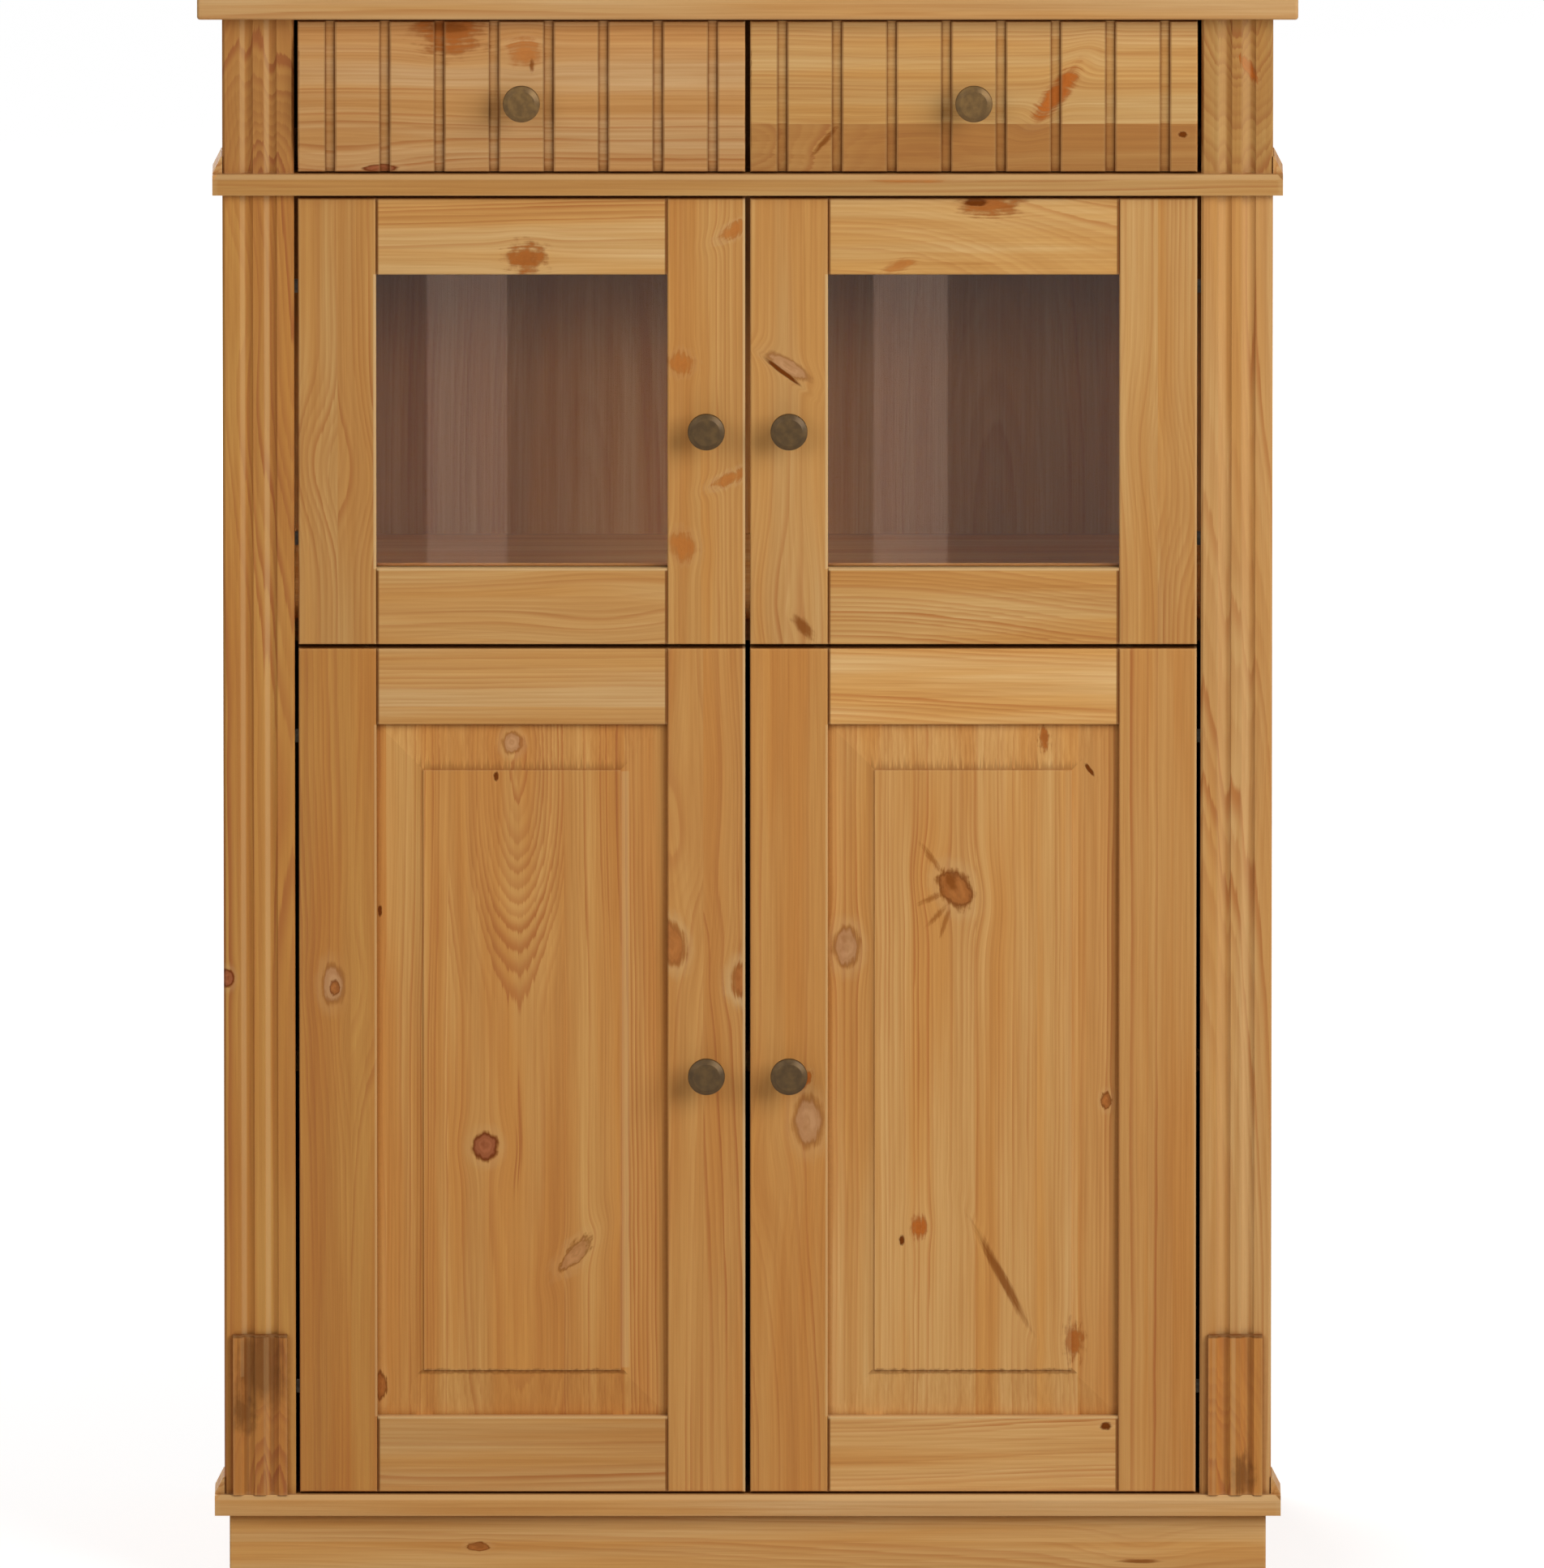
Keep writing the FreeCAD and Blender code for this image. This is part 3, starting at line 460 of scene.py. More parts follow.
@dataclass
class Board:
    """How a board was cut and made, and where light and shade are painted on it: the letters along
    the grain, across it and into the wood, its tone, the width of its rings, where the tree's heart
    lies across it and how deep, its glued strips, its knots, how strong its late wood is, where its
    grain turns, its joints, which hold dark glaze, its grooves and raised field, which get dark
    lines of glaze and painted shade, its painted highlights, where its plain back begins, if it
    gets wax, wear and painted shade in its corners, how much painted shade and glaze its corners
    get, and between which heights a painted shadow darkens it."""

    axes: str
    tone: tuple = HONEY
    ring: float = 0.004
    heart: float = 0.3
    rise: Rise = Rise(0.0, 1.0, 0.08, 0.08)
    strips: tuple = ()
    knots: tuple = ()
    contrast: float = 1.0
    turned: Turn = None
    joints: tuple = ()
    grooves: Grooves = None
    field: Field = None
    highlights: tuple = ()
    backed: float = 0.0
    worn_and_shaded: bool = True
    corner_shade_and_glaze: float = 0.9
    painted_shadow_heights: tuple = ()


@dataclass
class Layer:
    """Noise in the wood: how fine it is across the grain and along it, its detail, its roughness,
    and if a strip's seed shifts it across the grain instead of along it."""

    across: float
    along: float
    detail: float
    roughness: float = 0.5
    sidelong: bool = False


# Ranges for the random seeds of a board's first strip and of the step to the next one.
FIRST_SEED = (0, 50)
SEED_STEP = (3, 9)

STREAK = Layer(190, 3.5, 3.0, 0.65)
FIBRE = Layer(620, 9, 3.0, 0.6)
DRIFT = Layer(3, 1.1, 1.0)
WAVER = Layer(22, 6, 3.0)
SWAY = Layer(2, 2.3, 1.0, sidelong=True)
PATCHES = Layer(14, 2.4, 2.0)
HUES = Layer(36, 2.2, 2.0, sidelong=True)
CLOUDS = Layer(7, 2.2, 2.0, sidelong=True)

# How far the noise moves the heart across the board, its depth, and a ring, in metres.
DRIFT_REACH = 0.014
WAVER_REACH = 0.004
SWAY_REACH = 0.016
STREAK_REACH = 0.003
FIBRE_REACH = 0.0016

# The rings: how their spacing wanders, and where and how strong their dark late wood is.
SPACING_SCALE = 55
SPACING_REACH = 1.6
LATE_GROWS = (0.1, 0.8)
LATE_ENDS = (1.0, 0.82)
LATE_LEAST = 0.15
LATE_VARIES = 0.85
LATE_PATCHES = (-0.18, 0.18, 0.3, 1.0)

# Colours as shares of a board's tone, and how strongly each kind of noise shades the wood.
COOL_EARLY = (1.26, 1.35, 1.58)
WARM_EARLY = (1.18, 1.04, 0.81)
LATE_WOOD = (0.85, 0.46, 0.18)
# Painted shadow at the top of a compartment: its colour as shares of the board's tone, and how much
# it covers.
SHADOW_TONE = (0.24, 0.2, 0.11)
SHADOW_COVER = 0.7
HUE_LEVELS = (-0.14, 0.14)
BAND_SCALE = 0.21
BAND_SHADE = 0.5
STREAK_SHADE = 0.75
FIBRE_SHADE = 0.55
CLOUD_SHADE = 0.4
RED_POWER = 0.55
BLUE_POWER = 1.7
WAX_VEIL = 0.18
BACK_SCALE = 350
BACK_LEVELS = (-0.3, 0.3)
BACK_SHADES = (0.8, 1.15)

# The finish: satin, with a fine grain in relief.
ROUGHNESS = 0.5
LATE_ROUGHNESS = -0.08
FIBRE_ROUGHNESS = 0.25
SHEEN = 0.08
LATE_RELIEF = 0.2
RELIEF_STRENGTH = 0.25
RELIEF_DEPTH = 0.0006

# Knots, in units of half their width: the ragged edge, blotches, growth rings, rim and pale ring.
RAGGED_SCALE = 1.7
BLOTCH_SCALE = 0.8
BLOTCH_LEVELS = (-0.04, 0.16, 0.0, 0.55)
KNOT_SEED = 900
BLOTCH_SEED = 7
KNOT_RINGS = 13
KNOT_RING_SHADE = 0.16
KNOT_SHADE = 0.18
RIM = (0.58, 0.9)
HALO_STARTS = (0.95, 1.15)
HALO_ENDS = (1.9, 1.2)
HALO_PATCHES = (-0.12, 0.12)

# Dark lines of glaze and painted shade, and painted shade in corners: widths of lines in metres,
# from faint to full, and how dark the lines are.
JOINT_LINE = (0.0026, 0.0012)
GROOVE_LEFT_LINE = (0.0014, 0.0004)
GROOVE_LEFT_DARK = 0.55
GROOVE_RIGHT_LINE = (0.0018, 0.0006)
GROOVE_RIGHT_DARK = 0.72
GROOVE_FLOOR_SHARE = 0.8
GROOVE_FLOOR_DARK = 0.14
GROOVE_FADE_SCALES = (20, 25)
GROOVE_FADE = (-0.22, 0.18, 0.6, 1.0)
FIELD_TOP_DARK = 0.42
TORN_SCALE = 420
TORN_REACH = 0.035
TORN_WIDTH = 0.008
TORN_LEAST = 0.002
FIELD_FOOT_LINE = (0.003, 0.0008)
FIELD_FOOT_DROP = 0.0012
FIELD_FOOT_WAVER = 0.004
FIELD_FOOT_OVERHANG = 0.002
FIELD_FOOT_DARK = 0.55
FIELD_LEFT_WIDTH = 0.010
FIELD_LEFT_DARK = 0.16
FIELD_RIGHT_WIDTH = 0.004
FIELD_RIGHT_DARK = 0.06
FIELD_SIDES_CLEAR = (0.004, 0.008, 0.1, 1.0)
CORNER_REACH = 0.009
CORNER_LEVELS = (0.25, 0.75)
CORNER_WAVER = 0.2
UNEVEN_SCALE = 240

# Painted highlights: the bright core's share of a highlight line; and wax rubbed off the edges of
# every board.
HIGHLIGHT_CORE = 0.4
EDGE_REACH = 0.0035
EDGE_LEVELS = (0.15, 0.5)
EDGE_PALE = 0.22


@dataclass
class Grain:
    """Where a point lies in its strip of wood: along the grain, across it, with the bends round
    knots, and into the wood, and the strip's heart, tone and seed."""

    along: Signal
    across: Signal
    depth: Signal
    heart: Signal
    tone: Signal
    seed: Signal

    def noise(self, layer):
        across = self.across * layer.across
        along = self.along * layer.along
        if layer.sidelong:
            across = across + self.seed
        else:
            along = along + self.seed
        spot = vector(across, self.depth * layer.across, along)
        return noise(spot, detail=layer.detail, roughness=layer.roughness)


def board_axes(place, board, face):
    """Signals along the grain, across it and into the wood from the board's face."""
    axes = [place[letter] for letter in board.axes]
    if board.turned:
        turn = board.turned
        inside = place[turn.letter].above(turn.low) * place[turn.letter].below(turn.high)
        axes = [axis + (place[other] - axis) * inside for axis, other in zip(axes, turn.axes)]
    along, across, depth = axes
    return along, across, depth - face


def strip_values(across, board, rng):
    """The heart's place, the tone and the seed of the glued strip that a point lies in."""
    heart = across.constant(board.heart)
    tone = across.constant(1)
    seed = across.constant(rng.uniform(*FIRST_SEED))
    last = Strip(0, board.heart, 1)
    for strip in board.strips:
        beyond = across.above(strip.edge)
        heart = heart + beyond * (strip.heart - last.heart)
        tone = tone + beyond * (strip.tone - last.tone)
        seed = seed + beyond * rng.uniform(*SEED_STEP)
        last = strip
    return heart, tone, seed


def knot_signals(spot, axes, along, across, depth):
    """How far out of a knot's middle a point is, ragged and plain, its distance across the grain,
    and the blotches on the knot."""
    offset = across - spot.place[axes[1]]
    rise = along - spot.place[axes[0]]
    cosine = math.cos(spot.tilt)
    sine = math.sin(spot.tilt)
    wide = (offset * cosine + rise * sine) / spot.size
    tall = (rise * cosine - offset * sine) / (spot.size * spot.stretch)
    seed = wide.constant(spot.size * KNOT_SEED)
    ragged = noise(vector(wide, tall, seed), RAGGED_SCALE, detail=4.0) * spot.kind.ragged
    blotch = noise(vector(wide, tall, seed + BLOTCH_SEED), BLOTCH_SCALE, detail=3.0)
    blotch = blotch.ramp(*BLOTCH_LEVELS)
    far = wide.squared() + tall.squared()
    if spot.deep:
        far = far + (depth / spot.deep).squared()
    far = far.root()
    return far + ragged, far, offset, blotch


def with_knot(wood, kind, edge, blotch, patchy):
    """wood with one knot's pale ring, its middle and its rim painted in."""
    if kind.halo:
        ring = edge.ramp(*HALO_STARTS) * edge.ramp(*HALO_ENDS) * patchy.ramp(*HALO_PATCHES)
        wood = mixed(ring * kind.halo, wood, CREAM)
    if kind.cover:
        core = edge.ramp(1 + kind.soft, 1 - kind.soft)
        rings = (edge * KNOT_RINGS).math("SINE") * KNOT_RING_SHADE + KNOT_SHADE
        rim = rings.larger(edge.ramp(*RIM)).larger(blotch)
        wood = mixed(core * kind.cover, wood, mixed(rim, kind.core, kind.rim))
    return wood


def groove_lines(place, grooves, uneven):
    """Glaze and painted shade along both edges of each groove, darker on the right edge, which
    faces away from the light, fading here and there, and a little on its floor.
    """
    middle, pitch, half = grooves
    offset = (place["x"] - middle + pitch / 2).math("FLOORED_MODULO", pitch) - pitch / 2
    across, along = GROOVE_FADE_SCALES
    spot = vector(place["x"] * across, uneven.constant(0), place["z"] * along)
    faded = noise(spot).ramp(*GROOVE_FADE)
    left = (offset + half).size().ramp(*GROOVE_LEFT_LINE) * faded * GROOVE_LEFT_DARK
    right = (offset - half).size().ramp(*GROOVE_RIGHT_LINE) * faded * GROOVE_RIGHT_DARK
    floor = offset.size().ramp(half, half * GROOVE_FLOOR_SHARE) * GROOVE_FLOOR_DARK
    return left.larger(right).larger(floor)


def field_lines(place, field, uneven):
    """Glaze and painted shade on the step round a raised field: torn over its top, a painted
    shadow line at its foot and soft at its sides."""
    over = place["z"] - field.high
    under = place["z"].taken_from(field.low)
    before = place["x"].taken_from(field.left)
    after = place["x"] - field.right
    beside = before.larger(after)
    ends = over.larger(under)
    torn = line_noise(place["x"], TORN_SCALE, detail=2.0) * TORN_REACH + TORN_WIDTH
    torn = torn.larger(TORN_LEAST)
    top = over.ramp(torn, 0.0) * over.above(0) * (beside - over).below(0) * FIELD_TOP_DARK
    foot = (under + uneven * FIELD_FOOT_WAVER - FIELD_FOOT_DROP).size().ramp(*FIELD_FOOT_LINE)
    foot = foot * (beside - under).below(FIELD_FOOT_OVERHANG) * (uneven + FIELD_FOOT_DARK)
    left = before.ramp(FIELD_LEFT_WIDTH, 0.0) * before.above(0) * (ends - before).below(0)
    right = after.ramp(FIELD_RIGHT_WIDTH, 0.0) * after.above(0) * (ends - after).below(0)
    sides = (left * FIELD_LEFT_DARK).larger(right * FIELD_RIGHT_DARK)
    return top.larger(foot).larger(sides)


def dark_lines(place, board, uneven):
    """Dark lines: glaze at joints, and glaze with painted shade along grooves and on the step round
    a raised field.
    """
    dark = uneven.constant(0)
    for joint in board.joints:
        line = (place[joint.letter] - joint.at).size().ramp(*JOINT_LINE)
        dark = dark.larger(line * joint.dark)
    if board.grooves:
        dark = dark.larger(groove_lines(place, board.grooves, uneven))
    if board.field:
        dark = dark.larger(field_lines(place, board.field, uneven))
    return dark


def light_lines(place, board):
    """Painted highlights in lines, along edges and flute walls that face the light."""
    pale = place["x"].constant(0)
    for brightening in board.highlights:
        line = (place[brightening.letter] - brightening.at).size().ramp(brightening.wide, brightening.wide * HIGHLIGHT_CORE)
        between = place[brightening.other].above(brightening.low) * place[brightening.other].below(brightening.high)
        pale = pale.larger(line * between * brightening.pale)
    return pale


def ring_count(grain, board, turns, streak, fibre):
    """How many growth rings lie between the heart and a point, with turns added near knots."""
    drift = grain.noise(DRIFT) * DRIFT_REACH
    waver = grain.noise(WAVER) * WAVER_REACH
    sway = grain.noise(SWAY) * SWAY_REACH
    sideways = grain.across + drift + waver - grain.heart
    deep = grain.depth + grain.along.ramp(*board.rise) + sway
    radius = (sideways.squared() + deep.squared()).root()
    radius = radius + streak * STREAK_REACH + fibre * FIBRE_REACH
    wander = line_noise(radius * SPACING_SCALE + grain.seed) * SPACING_REACH
    return radius / board.ring + wander + turns


def late_wood(rings, seed, patchy):
    """How much of the dark late wood a point has."""
    in_ring = rings.math("FRACT")
    late = in_ring.ramp(*LATE_GROWS) * in_ring.ramp(*LATE_ENDS)
    this_ring = chance(rings.math("FLOOR") + seed)
    strength = this_ring.squared() * LATE_VARIES + LATE_LEAST
    return late * strength * patchy.ramp(*LATE_PATCHES)


def grained_wood(grain, board, rings, late, streak, fibre):
    """The colour of the bare wood."""
    band = line_noise(rings * BAND_SCALE + grain.seed, detail=2.0)
    cool = scaled(board.tone, *COOL_EARLY)
    warm = scaled(board.tone, *WARM_EARLY)
    early = mixed(grain.noise(HUES).ramp(*HUE_LEVELS), cool, warm)
    wood = mixed(late, early, scaled(board.tone, *LATE_WOOD))
    shade = band * BAND_SHADE + streak * STREAK_SHADE + fibre * FIBRE_SHADE
    shade = (shade + grain.noise(CLOUDS) * CLOUD_SHADE + 1) * grain.tone
    deepened = vector(shade.math("POWER", RED_POWER), shade, shade.math("POWER", BLUE_POWER))
    return mixed(shade.constant(1), wood, deepened, "MULTIPLY")


def plain_back(surface):
    dark, pale = (lightened(FIBREBOARD, share) for share in BACK_SHADES)
    return mixed(surface.noise(BACK_SCALE, detail=4.0).ramp(*BACK_LEVELS), dark, pale)


def finished(wood, surface, board):
    """wood with dark glaze and painted shade in its corners and lines, painted highlights along lit
    edges, and the wax rubbed off its edges.
    """
    place = surface.place
    uneven = surface.noise(UNEVEN_SCALE, detail=3.0)
    wood = mixed(dark_lines(place, board, uneven), wood, GLAZE_AND_SHADE)
    # Painted highlights along edges that face the light; worn edges are added below.
    brightening = light_lines(place, board)
    if board.worn_and_shaded:
        # Painted shade: darker in corners and beside proud parts, where shade falls, with some
        # glaze.
        corner = crevices(surface.tree, CORNER_REACH)
        if board.field:
            left = (place["x"] - board.field.left).size()
            right = (place["x"] - board.field.right).size()
            corner = corner * left.smaller(right).ramp(*FIELD_SIDES_CLEAR)
        shade_and_glaze = (corner + uneven * CORNER_WAVER).ramp(*CORNER_LEVELS)
        wood = mixed(shade_and_glaze * board.corner_shade_and_glaze, wood, GLAZE_AND_SHADE)
        edges = convex_edges(surface.tree, EDGE_REACH).ramp(*EDGE_LEVELS)
        brightening = brightening.larger(edges * EDGE_PALE)
    return mixed(brightening, wood, CREAM)


def pine(name, board, face):
    """Waxed pine: growth rings about a heart line, glued strips, knots that the grain flows round,
    dark glaze with painted shade in the corners, painted highlights on lit edges, worn edges and a
    satin sheen."""
    surface = Surface(name)
    place = surface.place
    along, across, depth = board_axes(place, board, face)
    heart, tone, seed = strip_values(across, board, random.Random(name))

    bent = across
    turns = seed
    knots = []
    for spot in board.knots:
        edge, far, offset, blotch = knot_signals(spot, board.axes, along, across, depth)
        near = (far.squared() / -(spot.reach**2)).math("EXPONENT")
        bent = bent - offset * near * spot.kind.push
        turns = turns + near * spot.kind.swirl
        knots.append((spot.kind, edge, blotch))

    grain = Grain(along, bent, depth, heart, tone, seed)
    streak = grain.noise(STREAK)
    fibre = grain.noise(FIBRE)
    patchy = grain.noise(PATCHES)
    rings = ring_count(grain, board, turns, streak, fibre)
    late = late_wood(rings, seed, patchy) * board.contrast
    wood = grained_wood(grain, board, rings, late, streak, fibre)
    if board.worn_and_shaded:
        wood = mixed(late.constant(WAX_VEIL), wood, CREAM)
    # Painted shadow: darker towards the top, where the drawer deck shades the compartment.
    if board.painted_shadow_heights:
        painted_shadow = place["z"].ramp(*board.painted_shadow_heights, 0.0, SHADOW_COVER)
        wood = mixed(painted_shadow, wood, scaled(board.tone, *SHADOW_TONE))
    for kind, edge, blotch in knots:
        wood = with_knot(wood, kind, edge + fibre * kind.feather, blotch, patchy)
    if board.backed:
        wood = mixed(place["y"].above(board.backed), wood, plain_back(surface))

    surface.set("Base Color", finished(wood, surface, board))
    surface.set("Roughness", late * LATE_ROUGHNESS + fibre * FIBRE_ROUGHNESS + ROUGHNESS)
    surface.set("Specular IOR Level", SHEEN)
    surface.bump(late * LATE_RELIEF + fibre, RELIEF_STRENGTH, RELIEF_DEPTH)
    return surface.material


# Metals and glass.
PATINA_SCALE = 160
PATINA_LEVELS = (-0.2, 0.25)
PATINA_ROUGHNESS = 0.25
DULL_BRONZE = srgb(88, 64, 30)
BRIGHT_BRONZE = srgb(112, 84, 43)
GRIME = srgb(30, 20, 12)
GRIME_REACH = 0.006
GRIME_LEVELS = (0.2, 0.8)
BRONZE_METALLIC = 0.5
# Shares for a darker copy of the bronze, which paints shade on the door knobs, and a paler copy,
# which paints light on the drawer knobs.
DOOR_KNOB_SHADED = 0.7
DRAWER_KNOB_LIT = 1.2
ZINC_SCALE = 220
ZINC_LEVELS = (-0.25, 0.25)
ZINC_ROUGHNESS = 0.2
DULL_ZINC = srgb(96, 88, 76)
BRIGHT_ZINC = srgb(140, 130, 116)
METAL_ROUGHNESS = 0.42
PANE_TINT = (0.9, 0.89, 0.88, 1)
PANE_ROUGHNESS = 0.01
PANE_INDEX = 1.27
PANE_SHEEN = 0.1
PANE_SHADOW = (0.77, 0.72, 0.62, 1)


def bronze(name, light):
    """Antique bronze, paler where light is higher; its copies paint shade on the door knobs and
    light on the drawer knobs.
    """
    surface = Surface(name)
    patina = surface.noise(PATINA_SCALE, detail=4.0)
    dull = lightened(DULL_BRONZE, light)
    bright = lightened(BRIGHT_BRONZE, light)
    metal = mixed(patina.ramp(*PATINA_LEVELS), dull, bright)
    grime = crevices(surface.tree, GRIME_REACH).ramp(*GRIME_LEVELS)
    surface.set("Base Color", mixed(grime, metal, GRIME))
    surface.set("Metallic", BRONZE_METALLIC)
    surface.set("Roughness", patina * PATINA_ROUGHNESS + METAL_ROUGHNESS)
    surface.bump(patina, strength=0.15, distance=0.0005)
    return surface.material


def zinc():
    """Burnished zinc, a little cloudy."""
    surface = Surface("burnished_zinc")
    cloudy = surface.noise(ZINC_SCALE, detail=3.0)
    surface.set("Base Color", mixed(cloudy.ramp(*ZINC_LEVELS), DULL_ZINC, BRIGHT_ZINC))
    surface.set("Metallic", 1.0)
    surface.set("Roughness", cloudy * ZINC_ROUGHNESS + METAL_ROUGHNESS)
    surface.bump(cloudy, strength=0.1, distance=0.0003)
    return surface.material


def glass():
    """A clear pane, whose shadow lets less light in than a look through it lets out."""
    surface = Surface("clear_pane")
    surface.set("Base Color", PANE_TINT)
    surface.set("Roughness", PANE_ROUGHNESS)
    surface.set("IOR", PANE_INDEX)
    surface.set("Transmission Weight", 1.0)
    surface.set("Specular IOR Level", PANE_SHEEN)
    tree = surface.tree
    path = tree.nodes.new("ShaderNodeLightPath")
    clear = tree.nodes.new("ShaderNodeBsdfTransparent")
    clear.inputs["Color"].default_value = PANE_SHADOW
    blend = tree.nodes.new("ShaderNodeMixShader")
    tree.links.new(path.outputs["Is Shadow Ray"], blend.inputs["Fac"])
    tree.links.new(surface.shader.outputs[0], blend.inputs[1])
    tree.links.new(clear.outputs[0], blend.inputs[2])
    surface.show(blend)
    return surface.material


def seen_directly(tree):
    """1 for rays from the camera, also by way of metal and glass, 0 for the light that falls on the
    part."""
    path = tree.nodes.new("ShaderNodeLightPath")
    kinds = ("Is Camera Ray", "Is Glossy Ray", "Is Transmission Ray")
    camera, mirrored, through = (Signal(tree, path.outputs[kind]) for kind in kinds)
    return camera.larger(mirrored).larger(through)


def floor_material():
    surface = Surface("pale_floor")
    surface.set("Base Color", FLOOR_COLOUR)
    surface.set("Roughness", FLOOR_ROUGHNESS)
    surface.set("Specular IOR Level", 0.0)
    tree = surface.tree
    glow = tree.nodes.new("ShaderNodeEmission")
    glow.inputs["Color"].default_value = WHITE
    away = (surface.place["x"].squared() + surface.place["y"].squared()).root()
    brightness = away.ramp(*GLOW_GROWS, FLOOR_GLOW, FAR_GLOW)
    feed(glow.inputs["Strength"], seen_directly(tree) * brightness)
    both = tree.nodes.new("ShaderNodeAddShader")
    tree.links.new(surface.shader.outputs[0], both.inputs[0])
    tree.links.new(glow.outputs[0], both.inputs[1])
    surface.show(both)
    return surface.material


def make_floor():
    mesh = bpy.data.meshes.new("floor")
    reach = FLOOR_REACH
    corners = [(-reach, -reach, 0), (reach, -reach, 0), (reach, reach, 0), (-reach, reach, 0)]
    mesh.from_pydata(corners, [], [(0, 1, 2, 3)])
    floor = bpy.data.objects.new("floor", mesh)
    SCENE.collection.objects.link(floor)
    mesh.materials.append(floor_material())


def make_world():
    world = bpy.data.worlds.new("studio")
    SCENE.world = world
    world.use_nodes = True
    tree = world.node_tree
    background = tree.nodes["Background"]
    background.inputs["Color"].default_value = WHITE
    feed(background.inputs["Strength"], seen_directly(tree).ramp(0, 1, AMBIENT, 1.0))


# Details that several boards share: joints at the rails' ends, grooves, and painted highlights
# along lit edges and flute walls.
LEFT_RAIL_ENDS = (Joint("x", -0.3007, 0.95), Joint("x", -0.0651, 0.95))
RIGHT_RAIL_ENDS = (Joint("x", 0.0651, 0.95), Joint("x", 0.3007, 0.95))
GROOVE_PITCH = 0.0442
GROOVE_HALF = 0.004
LEFT_GROOVES = Grooves(-0.3376, GROOVE_PITCH, GROOVE_HALF)
RIGHT_GROOVES = Grooves(0.0282, GROOVE_PITCH, GROOVE_HALF)
UPPER_SILL = Highlight("z", 0.8493, 0.0024, 0.85, "x", -1, 1)
LOWER_SILL = Highlight("z", 0.1455, 0.0022, 0.65, "x", -1, 1)
BESIDE_PANE = Highlight("x", -0.3013, 0.0024, 0.9, "z", 0.849, 1.0925)
LEFT_MEETING_EDGE = Highlight("x", -0.0026, 0.002, 0.9, "z", 0, 2)
RIGHT_HANGING_EDGE = Highlight("x", 0.3632, 0.0016, 0.5, "z", 0, 2)
# Painted highlights on the flute walls that face the light.
LEFT_FLUTES = (
    Highlight("x", -0.4088, 0.003, 0.4, "y", -1, -0.165),
    Highlight("x", -0.3892, 0.003, 0.45, "y", -1, -0.165),
)
RIGHT_FLUTES = (
    Highlight("x", 0.3836, 0.005, 0.3, "y", -1, -0.165),
    Highlight("x", 0.4030, 0.005, 0.35, "y", -1, -0.165),
)

